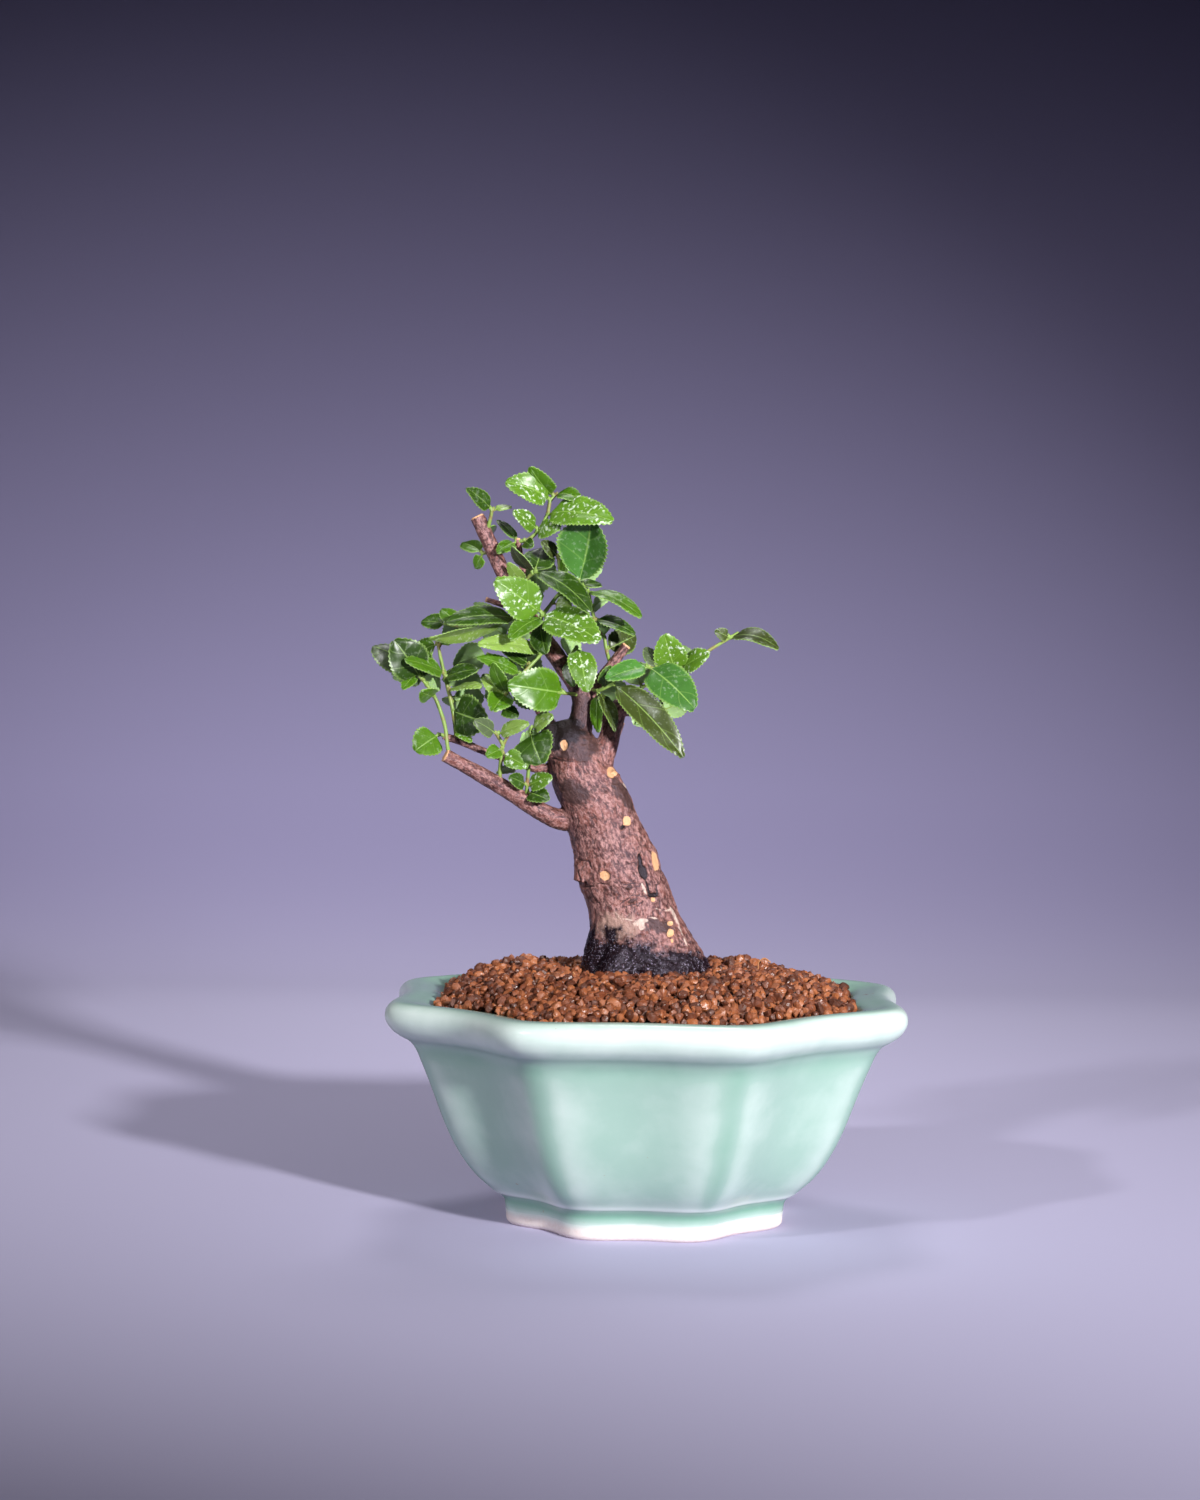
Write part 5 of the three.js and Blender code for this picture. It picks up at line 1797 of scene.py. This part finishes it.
            Leaf((-36, -7, 144.4), (-31.5, -13, 135.5), 13, Tone.DARK, -16),
            Leaf((-35, -7, 145.8), (-28.4, -11, 149.6), 6, Tone.PALE, 44, 10, 0.05),
            Leaf((-36.4, -5.8, 128.6), (-41.2, -10, 131.4), 5, Tone.DARK, 34, 10, 0.05),
            Leaf((-35.4, -6, 128.2), (-28.6, -11, 131.6), 5.6, Tone.SPOTTED, 34, 10, 0.05),
            Leaf((-35.6, -5.6, 126.6), (-29.4, -10, 124.5), 6, Tone.DARK, 34, 10, 0.05),
            Leaf((-35.8, -5, 140), (-37, 5, 144), 8, Tone.MID, 20, 10, 0.05, facing=-1),
        ),
    ),
    Shoot(
        "shoot_centre",
        stems=(((-25.4, 0, 163.4), (-24, -3.4, 166.6), (-21.8, -6, 169.8)),),
        leaves=(
            Leaf((-22.6, -6, 171.6), (-18.6, -13, 156.6), 8.6, Tone.SPOTTED, 20, 14, 0.08),
            Leaf((-24, -4.2, 166), (-22.6, -6.4, 158), 5, Tone.DARK, -20, 10, 0.05),
            Leaf((-25, -2.4, 167), (-22, 8, 173), 8.4, Tone.MID, 30, 10, 0.05, facing=-1),
        ),
    ),
    Shoot(
        "shoot_twiglet",
        stems=(((-11.8, 1, 164.8), (-13, 2.2, 168.6), (-13.8, 3, 173)),),
        leaves=(
            Leaf((-13, 2.4, 169), (-4.4, 9, 173.4), 8.2, Tone.OLIVE, 6, 12, 0.06),
            Leaf((-13.8, 1.4, 172.6), (-17.2, 8, 178), 7.2, Tone.MID, 20, 12, 0.06, facing=-1),
        ),
    ),
    Shoot(
        "shoot_inner",
        stems=(((-17.2, -1.6, 157.4), (-15.4, -5, 157), (-10.9, -7.2, 159.1)),),
        leaves=(
            Leaf((-10.9, -7.2, 159.1), (10.1, -18, 137.9), 9.6, Tone.OLIVE, 22, 26, 0.1),
            Leaf((-15.8, -5.4, 156.4), (-10, -10, 145.2), 5.8, Tone.OLIVE, 50, 14, 0.05),
            Leaf((-16.2, -5, 156.4), (-15.2, -7, 144.6), 5, Tone.LIME, -40, 8, 0.04),
            Leaf((-14.2, -6, 158.4), (-12, -9, 164.6), 5.4, Tone.DARK, 20, 10, 0.05),
        ),
    ),
    Shoot(
        "shoot_right",
        stems=(
            (
                (-0.9, 4, 151), (2, 3, 156), (5, 1.4, 160),
                (9.2, 0, 163.4), (18, 0, 169.6), (26.2, 0, 174.6),
            ),
            ((5, 1.4, 160), (2.6, -3, 163), (-0.6, -6, 164.2)),
        ),
        leaves=(
            Leaf((-0.8, -7, 164.2), (13.2, -17, 152.2), 12.4, Tone.BLUISH, 24),
            Leaf((-1.4, -6.4, 164), (-13.2, -12, 160.4), 7.8, Tone.BLUISH, 40, 12, 0.06),
            Leaf((1.8, -3, 163.8), (-1.6, 0, 170), 5, Tone.GREY, 30, 10, 0.05),
            Leaf((7.1, -0.4, 163), (4, -5, 174), 9.8, Tone.SPOTTED, -10),
            Leaf((7.9, -1, 164.8), (17.3, -8, 168.5), 7.4, Tone.SPOTTED, 40, 10, 0.06),
            Leaf((23, -0.8, 173.9), (37.9, -6, 169.9), 8, Tone.OLIVE, 56, 14, 0.16),
            Leaf((23.6, -0.8, 173), (19.1, -3, 175), 3.8, Tone.OLIVE, 20, 8, 0.05),
            back_leaf((8.4, 0.8, 163.4), (9.6, 11, 170), 9, Tone.MID),
            back_leaf((3, 3.4, 157.6), (7.8, 13, 158.9), 9, Tone.MID, 20),
        ),
    ),
    Shoot(
        "shoot_back_low",
        stems=(
            ((-9.2, 24.8, 146), (-7, 26.6, 152), (-3, 27, 157), (2, 26, 160)),
            ((-7, 26.6, 152), (-2, 29, 152), (4, 29, 150)),
        ),
        leaves=(
            back_leaf((2, 26, 160), (10, 22, 162), 9, Tone.MID),
            back_leaf((-2.6, 27, 157.4), (-6, 22, 166), 9, Tone.DARK, 20),
            back_leaf((-6.6, 26.6, 153), (-15.4, 27, 158), 9, Tone.LIME),
            back_leaf((4, 29, 150), (8, 33, 155.1), 9, Tone.MID),
            back_leaf((3.4, 29, 150.4), (12, 27, 153.4), 9, Tone.DARK, 24),
            back_leaf((-2.6, 29, 152), (-4.4, 35, 145.6), 8, Tone.SPOTTED),
            back_leaf((-8.4, 25.8, 149.6), (-16, 31, 146.4), 8, Tone.MID, 20),
        ),
    ),
    Shoot(
        "shoot_back_high",
        stems=(
            ((-37.8, 19.8, 159.4), (-41, 21, 165), (-43, 20, 172), (-41, 17, 180), (-37, 14, 186)),
            ((-41, 21, 165), (-49, 20, 167)),
        ),
        leaves=(
            back_leaf((-37.6, 14.2, 185.2), (-30, 9, 196), 10, Tone.MID, 20),
            back_leaf((-38.4, 15.6, 183.6), (-45.6, 17, 192), 10, Tone.SPOTTED, 20),
            back_leaf((-41.6, 18.4, 177), (-32, 21, 174), 10, Tone.DARK),
            back_leaf((-43.2, 20, 172), (-53, 19, 178), 10, Tone.MID, 24),
            back_leaf((-49.4, 20, 167), (-60, 18, 164), 10, Tone.LIME),
            back_leaf((-42, 21.4, 166.4), (-34, 26, 161), 10, Tone.DARK),
            back_leaf((-40.4, 21, 163.8), (-47.6, 24, 156), 9, Tone.MID),
        ),
    ),
)


@dataclass(frozen=True)
class Foliage:
    """Builds each shoot: waxy blades with fine teeth, on slim stems with their buds.

    A blade is a grid of rows along its midrib and columns across it. The columns are shares of
    its half width.
    """

    stem_radius: float = 0.6
    stem_taper: float = 0.2
    stalk_length: float = 1.6
    stalk_radius: float = 0.34
    thickness: float = 0.26
    rib_depth: float = 0.22
    tooth_pitch: float = 1.25
    rows_in_tooth: int = 3
    slimness: float = 0.62
    side_veins: int = 6
    vein_lean: float = 0.26
    columns: tuple[float, ...] = (-1, -0.86, -0.62, -0.36, -0.14, 0, 0.14, 0.36, 0.62, 0.86, 1)

    def nearest(self, stems: tuple[tuple[Place, ...], ...], spot: Place) -> np.ndarray:
        """Finds where a leaf leaves its stem.

        Args:
            stems: the lines of the stems.
            spot: a place near one of them.

        Returns:
            The point of the stems that lies nearest to it.
        """
        best, shortest = np.array(stems[0][0], float), math.inf
        for stem in stems:
            for start, end in itertools.pairwise(stem):
                a, b = np.array(start, float), np.array(end, float)
                share = np.clip((np.array(spot) - a) @ (b - a) / ((b - a) @ (b - a)), 0, 1)
                near = a + share * (b - a)
                gap = np.linalg.norm(near - np.array(spot))
                if gap < shortest:
                    best, shortest = near, gap
        return best

    def axes(self, leaf: Leaf, base: np.ndarray) -> tuple[np.ndarray, np.ndarray, np.ndarray]:
        """The directions of a leaf.

        Args:
            leaf: the leaf.
            base: where it leaves its stem.

        Returns:
            Along its midrib, out of its face, and across it.
        """
        along = unit(np.array(leaf.tip) - base)
        viewer = np.array([0.0, -leaf.facing, 0.0])
        plain = unit(viewer - along * (viewer @ along))
        skyward = np.cross(along, plain)
        lead = skyward[2] if abs(skyward[2]) > 0.3 else skyward[0]
        skyward = skyward * math.copysign(1, lead)
        roll = math.radians(leaf.roll)
        face = plain * math.cos(roll) + skyward * math.sin(roll)
        return along, face, np.cross(along, face)

    def half_widths(self, leaf: Leaf, rows: np.ndarray) -> np.ndarray:
        """Half the width of a blade at each row.

        Args:
            leaf: the leaf.
            rows: the share of its length at each row.

        Returns:
            Half widths, which open out from the stalk.
        """
        full = leaf.width / 2 * np.sin(np.pi * rows**leaf.shoulder) ** self.slimness
        opened = np.clip((rows - rows[0]) / 0.1, 0, 1) ** 0.7
        neck = 0.3
        return neck + (full - neck) * opened

    def spread(self, leaf: Leaf, rows: np.ndarray, half: np.ndarray) -> np.ndarray:
        """How far each point of a blade lies from its midrib.

        Args:
            leaf: the leaf.
            rows: the share of its length at each row.
            half: half its width at each row.

        Returns:
            Distances by row and by column, with the teeth in the outer columns.
        """
        columns = np.array(self.columns)
        tooth = np.arange(len(rows)) / self.rows_in_tooth % 1
        saw = np.where(tooth < 0.7, tooth / 0.7, (1 - tooth) / 0.3)
        saw = saw * np.clip((rows - 0.12) / 0.1, 0, 1)
        outermost = np.sign(columns) * (np.abs(columns) > 0.95)
        depth = 0.12 + 0.036 * leaf.width
        return half[:, None] * columns + outermost * (saw[:, None] - 0.35) * depth

    def lift(self, leaf: Leaf, rows: np.ndarray, half: np.ndarray, number: int) -> np.ndarray:
        """How far each point of a blade rises out of its face.

        Args:
            leaf: the leaf.
            rows: the distance along its midrib at each row.
            half: half its width at each row.
            number: counts the leaves, so that no two wave alike.

        Returns:
            Heights by row and by column: the arch of the midrib, the fold of the halves, the
            waves, the quilting between the veins and the curl of the edges.
        """
        columns = np.array(self.columns)
        out = np.abs(columns)
        length = rows[-1] / TIP_ROW
        share = rows[:, None] / length
        arch = leaf.bow * length * (1 - (2 * share - 1) ** 2)
        rise = np.sqrt(columns**2 + 0.012) - math.sqrt(0.012)
        fold = rise * half[:, None] * math.tan(math.radians(leaf.fold))
        grid = np.meshgrid(rows, columns * leaf.width / 2, [0.0], indexing="ij")
        places = np.stack(grid, axis=-1).reshape(-1, 3)
        wave = grain(places, 5.5, number) * 0.62 + grain(places, 2.4, number + 7) * 0.2
        wave = wave.reshape(len(rows), -1) * np.minimum(out * 1.6, 1) * min(1, leaf.width / 7)
        ribs = np.cos((share - self.vein_lean * out) * self.side_veins * 2 * math.pi)
        quilt = -0.0224 * leaf.width * ribs * out * (1 - out)
        curl = -0.12 * leaf.width * np.maximum(out - 0.55, 0)
        return arch + fold + wave + quilt + curl

    def shell(self, rows: int) -> list[np.ndarray]:
        """The faces of a blade: its top, its underside and the wall round its edge.

        Args:
            rows: rows of points on each side.

        Returns:
            The corners of each kind of face.
        """
        columns = len(self.columns)
        cells = lattice(rows, columns)
        under = rows * columns
        rim = np.concatenate(
            [
                np.arange(columns),
                np.arange(2, rows) * columns - 1,
                (rows - 1) * columns + np.arange(columns - 1, -1, -1),
                np.arange(rows - 2, 0, -1) * columns,
            ]
        )
        following = np.roll(rim, -1)
        wall = np.stack([rim, rim + under, following + under, following], axis=1)
        return [cells[:, ::-1], cells + under, wall]

    def blade(self, skin: Skin, leaf: Leaf, base: np.ndarray, number: int) -> None:
        """Adds one blade with its stalk.

        Args:
            skin: the mesh that takes it.
            leaf: the leaf.
            base: where it leaves its stem.
            number: counts the leaves, so that no two wave alike.
        """
        along, face, side = self.axes(leaf, base)
        length = float(np.linalg.norm(np.array(leaf.tip) - base))
        count = max(4, round(length / self.tooth_pitch)) * self.rows_in_tooth + 1
        rows = np.linspace(0.8 * self.stalk_length / length, TIP_ROW, count)
        half = self.half_widths(leaf, rows)
        reach = self.spread(leaf, rows, half)
        lift = self.lift(leaf, rows * length, half, number)
        surface = (
            base
            + (rows * length)[:, None, None] * along
            + reach[:, :, None] * side
            + lift[:, :, None] * face
        )
        columns = np.array(self.columns)
        rib = np.exp(-((columns / 0.12) ** 2)) * self.rib_depth
        top = surface + self.thickness / 2 * face
        low = surface - (self.thickness / 2 + rib)[None, :, None] * face
        colour, specks = leaf.tone.value
        vary = 1 + 0.16 * math.sin(number * 2.399)
        skin.add(
            np.vstack([top.reshape(-1, 3), low.reshape(-1, 3)]),
            self.shell(count),
            tone=np.array([c * vary for c in linear(colour)[:3]] + [1.0]),
            along=np.tile(np.repeat(rows, len(columns)), 2),
            across=np.tile(np.tile(columns, count), 2),
            under=np.repeat([0.0, 1.0], count * len(columns)),
            specks=specks,
        )
        middle = surface[:, len(columns) // 2]
        stalk = np.array(
            [
                (*(base - along * 0.2), self.stalk_radius * 1.5),
                (*(base + along * 0.8), self.stalk_radius),
                (*(middle[2] - face * 0.12), self.stalk_radius * 0.9),
                (*(middle[min(8, count - 2)] - face * 0.25), self.stalk_radius * 0.5),
            ]
        )
        self.green(skin, smooth_line(stalk, 3), 6)

    def bud(self, skin: Skin, base: np.ndarray, along: np.ndarray) -> None:
        """Adds the bud over a leaf's stalk.

        Args:
            skin: the mesh that takes it.
            base: where the leaf leaves its stem.
            along: the direction of its midrib.
        """
        line = np.array(
            [
                (*base, 0.7),
                (*(base + along * 0.5 + (0, 0, 0.5)), 0.55),
                (*(base + along * 0.7 + (0, 0, 1.1)), 0.12),
            ]
        )
        self.green(skin, smooth_line(line, 3), 7)

    def green(self, skin: Skin, line: np.ndarray, sides: int) -> None:
        """Adds a length of green stem, which takes nothing from a leaf's values."""
        plain = {"tone": (0.2, 0.4, 0.1, 1.0), "along": 0.5, "across": 0.5}
        skin.tube(line, sides, finish=1, under=0.0, specks=0.0, **plain)

    def build(
        self, shoot: Shoot, tissue: bpy.types.Material, stem: bpy.types.Material
    ) -> bpy.types.Object:
        """Grows one shoot.

        Args:
            shoot: its stems and leaves.
            tissue: the material of the blades.
            stem: the material of stems and stalks.

        Returns:
            The shoot, standing for its plain one.
        """
        skin = Skin()
        for knots in shoot.stems:
            taper = 1 - self.stem_taper * np.arange(len(knots)) / len(knots)
            line = np.column_stack([np.array(knots, float), self.stem_radius * taper])
            line = smooth_line(line, 6)
            line[:, 3] *= 1 + 0.1 * grain(line[:, :3], 1.6, 4)
            self.green(skin, line, 10)
        first = sum(map(ord, shoot.name))
        for number, leaf in enumerate(shoot.leaves, first):
            base = self.nearest(shoot.stems, leaf.start)
            self.blade(skin, leaf, base, number)
            self.bud(skin, base, self.axes(leaf, base)[0])
        piece = skin.piece(f"{shoot.name}_leaves", "foliage", [tissue, stem], crease=45)
        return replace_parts(piece, shoot.name)


@dataclass(frozen=True)
class Lamp:
    """A soft light: degrees right of the viewer and over the table, and its beam in degrees."""

    name: str
    bearing: float
    rise: float
    aim: Place
    beam: float
    power: float
    size: float = 110.0
    away: float = 1500.0


@dataclass(frozen=True)
class Studio:
    """A pale lavender paper sweep, soft lights in front and over the back, and the camera.

    The paper's colour goes from the table's to a painted shade of it on the wall, between two
    distances behind the pot's axis, and darkens between two heights with deeper painted shade,
    where the light falls off up the wall.
    """

    table: str = "#bdb7d4"
    shaded_wall_low: str = "#9790b4"
    shaded_wall_high: str = "#2b2940"
    wall_starts: tuple[float, float] = (440.0, 840.0)
    wall_darkens: tuple[float, float] = (80.0, 720.0)
    sweep_start: float = 560.0
    sweep_radius: float = 640.0
    half_width: float = 2600.0
    front: float = -2400.0
    camera: Place = (0.0, -892.5, 175.9)
    turn: float = 0.943
    dip: float = 2.351
    tilt: float = 0.577
    lens: float = 72.0
    subject: Place = (-10.0, 0.0, 90.0)
    lamps: tuple[Lamp, ...] = (
        Lamp("key_light", 31, 16.5, (-50.0, 400.0, 60.0), 38.0, 2.25),
        Lamp("second_light", -39, 30, (20.0, 360.0, 40.0), 40.0, 0.62),
        Lamp("top_light", 180, 62, (-60.0, 560.0, 0.0), 110.0, 2.4, 420.0),
    )
    air: str = "#8f8aac"
    air_strength: float = 0.13

    def paper(self) -> bpy.types.Material:
        """Builds the sweep's paper, with painted shade that darkens it up the wall.

        Returns:
            The material of the sweep.
        """
        recipe = Recipe("Backdrop_paper_matte")
        near, far = (distance * METRES for distance in self.wall_starts)
        low, high = (height * METRES for height in self.wall_darkens)
        # painted shade: the wall darker than the table, and darker still higher up, as the light
        # falls off
        behind = recipe.run(recipe.axis("Y"), near, far, eased=True)
        above = recipe.run(recipe.axis("Z"), low, high)
        colour = recipe.mix(behind, self.table, self.shaded_wall_low)
        colour = recipe.mix(above, colour, self.shaded_wall_high)
        return recipe.finish({"Base Color": colour, "Roughness": 0.85, "Specular IOR Level": 0.2})

    def sweep(self) -> bpy.types.Object:
        """Rolls the paper over the table and up behind it.

        Returns:
            The sweep, which isn't part of the object.
        """
        bend = np.radians(np.linspace(0, 90, 40))
        out = self.sweep_start + self.sweep_radius * np.sin(bend)
        up = self.sweep_radius * (1 - np.cos(bend))
        out = np.concatenate([[self.front], out, [out[-1]]])
        up = np.concatenate([[0], up, [2600]])
        rows = []
        for x in np.linspace(-self.half_width, self.half_width, 3):
            rows.append(np.column_stack([np.full(len(out), x), out, up]))
        points = to_frame(np.vstack(rows))
        faces = lattice(3, len(out))
        mesh = bpy.data.meshes.new("paper_sweep")
        mesh.from_pydata(points.tolist(), [], faces.tolist())
        mesh.polygons.foreach_set("use_smooth", np.ones(len(faces), bool))
        mesh.materials.append(self.paper())
        floor = bpy.data.objects.new("paper_sweep", mesh)
        bpy.context.scene.collection.objects.link(floor)
        return floor

    def hang(self, lamp: Lamp) -> None:
        """Hangs a soft light with a grid, which keeps its beam off the near table.

        Args:
            lamp: where it hangs and how it shines.
        """
        light = bpy.data.lights.new(lamp.name, "AREA")
        light.shape = "DISK"
        light.size = lamp.size * METRES
        light.energy = lamp.power
        light.spread = math.radians(lamp.beam)
        turn, lift = math.radians(lamp.bearing), math.radians(lamp.rise)
        level = math.cos(lift)
        way = np.array([math.sin(turn) * level, -math.cos(turn) * level, math.sin(lift)])
        place = np.array(self.subject) + way * lamp.away
        hung = bpy.data.objects.new(lamp.name, light)
        hung.location = Vector(to_frame(place[None])[0])
        towards = Vector(np.array(lamp.aim) - place)
        hung.rotation_euler = towards.to_track_quat("-Z", "Y").to_euler()
        bpy.context.scene.collection.objects.link(hung)

    def aim(self) -> None:
        """Sets the camera where the photograph was taken from."""
        yaw, pitch, roll = (math.radians(a) for a in (self.turn, self.dip, self.tilt))
        forward = Vector(
            (-math.sin(yaw) * math.cos(pitch), math.cos(yaw) * math.cos(pitch), -math.sin(pitch))
        )
        right = Vector((math.cos(yaw), math.sin(yaw), 0))
        up = right.cross(forward)
        x_axis = right * math.cos(roll) + up * math.sin(roll)
        y_axis = up * math.cos(roll) - right * math.sin(roll)
        lens = bpy.data.cameras.new("camera")
        lens.lens = self.lens
        lens.clip_start = 0.01
        viewer = bpy.data.objects.new("camera", lens)
        turned = Matrix((x_axis, y_axis, -forward)).transposed().to_4x4()
        place = Vector(to_frame(np.array([self.camera]))[0])
        viewer.matrix_world = Matrix.Translation(place) @ turned
        bpy.context.scene.collection.objects.link(viewer)
        bpy.context.scene.camera = viewer

    def build(self) -> None:
        """Sets up the sweep, the lights and the camera."""
        self.sweep()
        for lamp in self.lamps:
            self.hang(lamp)
        world = bpy.data.worlds.new("studio_air")
        world.use_nodes = True
        air = world.node_tree.nodes["Background"]
        air.inputs["Color"].default_value = linear(self.air)
        air.inputs["Strength"].default_value = self.air_strength
        bpy.context.scene.world = world
        bpy.context.scene.view_settings.view_transform = "Standard"
        self.aim()


def dress_screen() -> None:
    """Gives the drain screen its plastic."""
    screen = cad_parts["drain_screen"]
    plastic = ScreenPlastic().material()
    screen.data.materials.clear()
    screen.data.materials.append(plastic)
    log.info("drain_screen: dressed")


def main() -> None:
    """Builds the studio and every piece of the plant."""
    logging.basicConfig(level=logging.INFO, format="%(name)s: %(message)s")
    Studio().build()
    dress_screen()
    Pot().build(CeladonGlaze().material())
    SoilBed().build(BakedClay().material(), DryRoot().material())
    Wood().build(LivingBark().material())
    tissue = LeafTissue().material()
    stem = GreenStem().material()
    foliage = Foliage()
    for shoot in SHOOTS:
        foliage.build(shoot, tissue, stem)


if __name__ == "__main__":
    main()
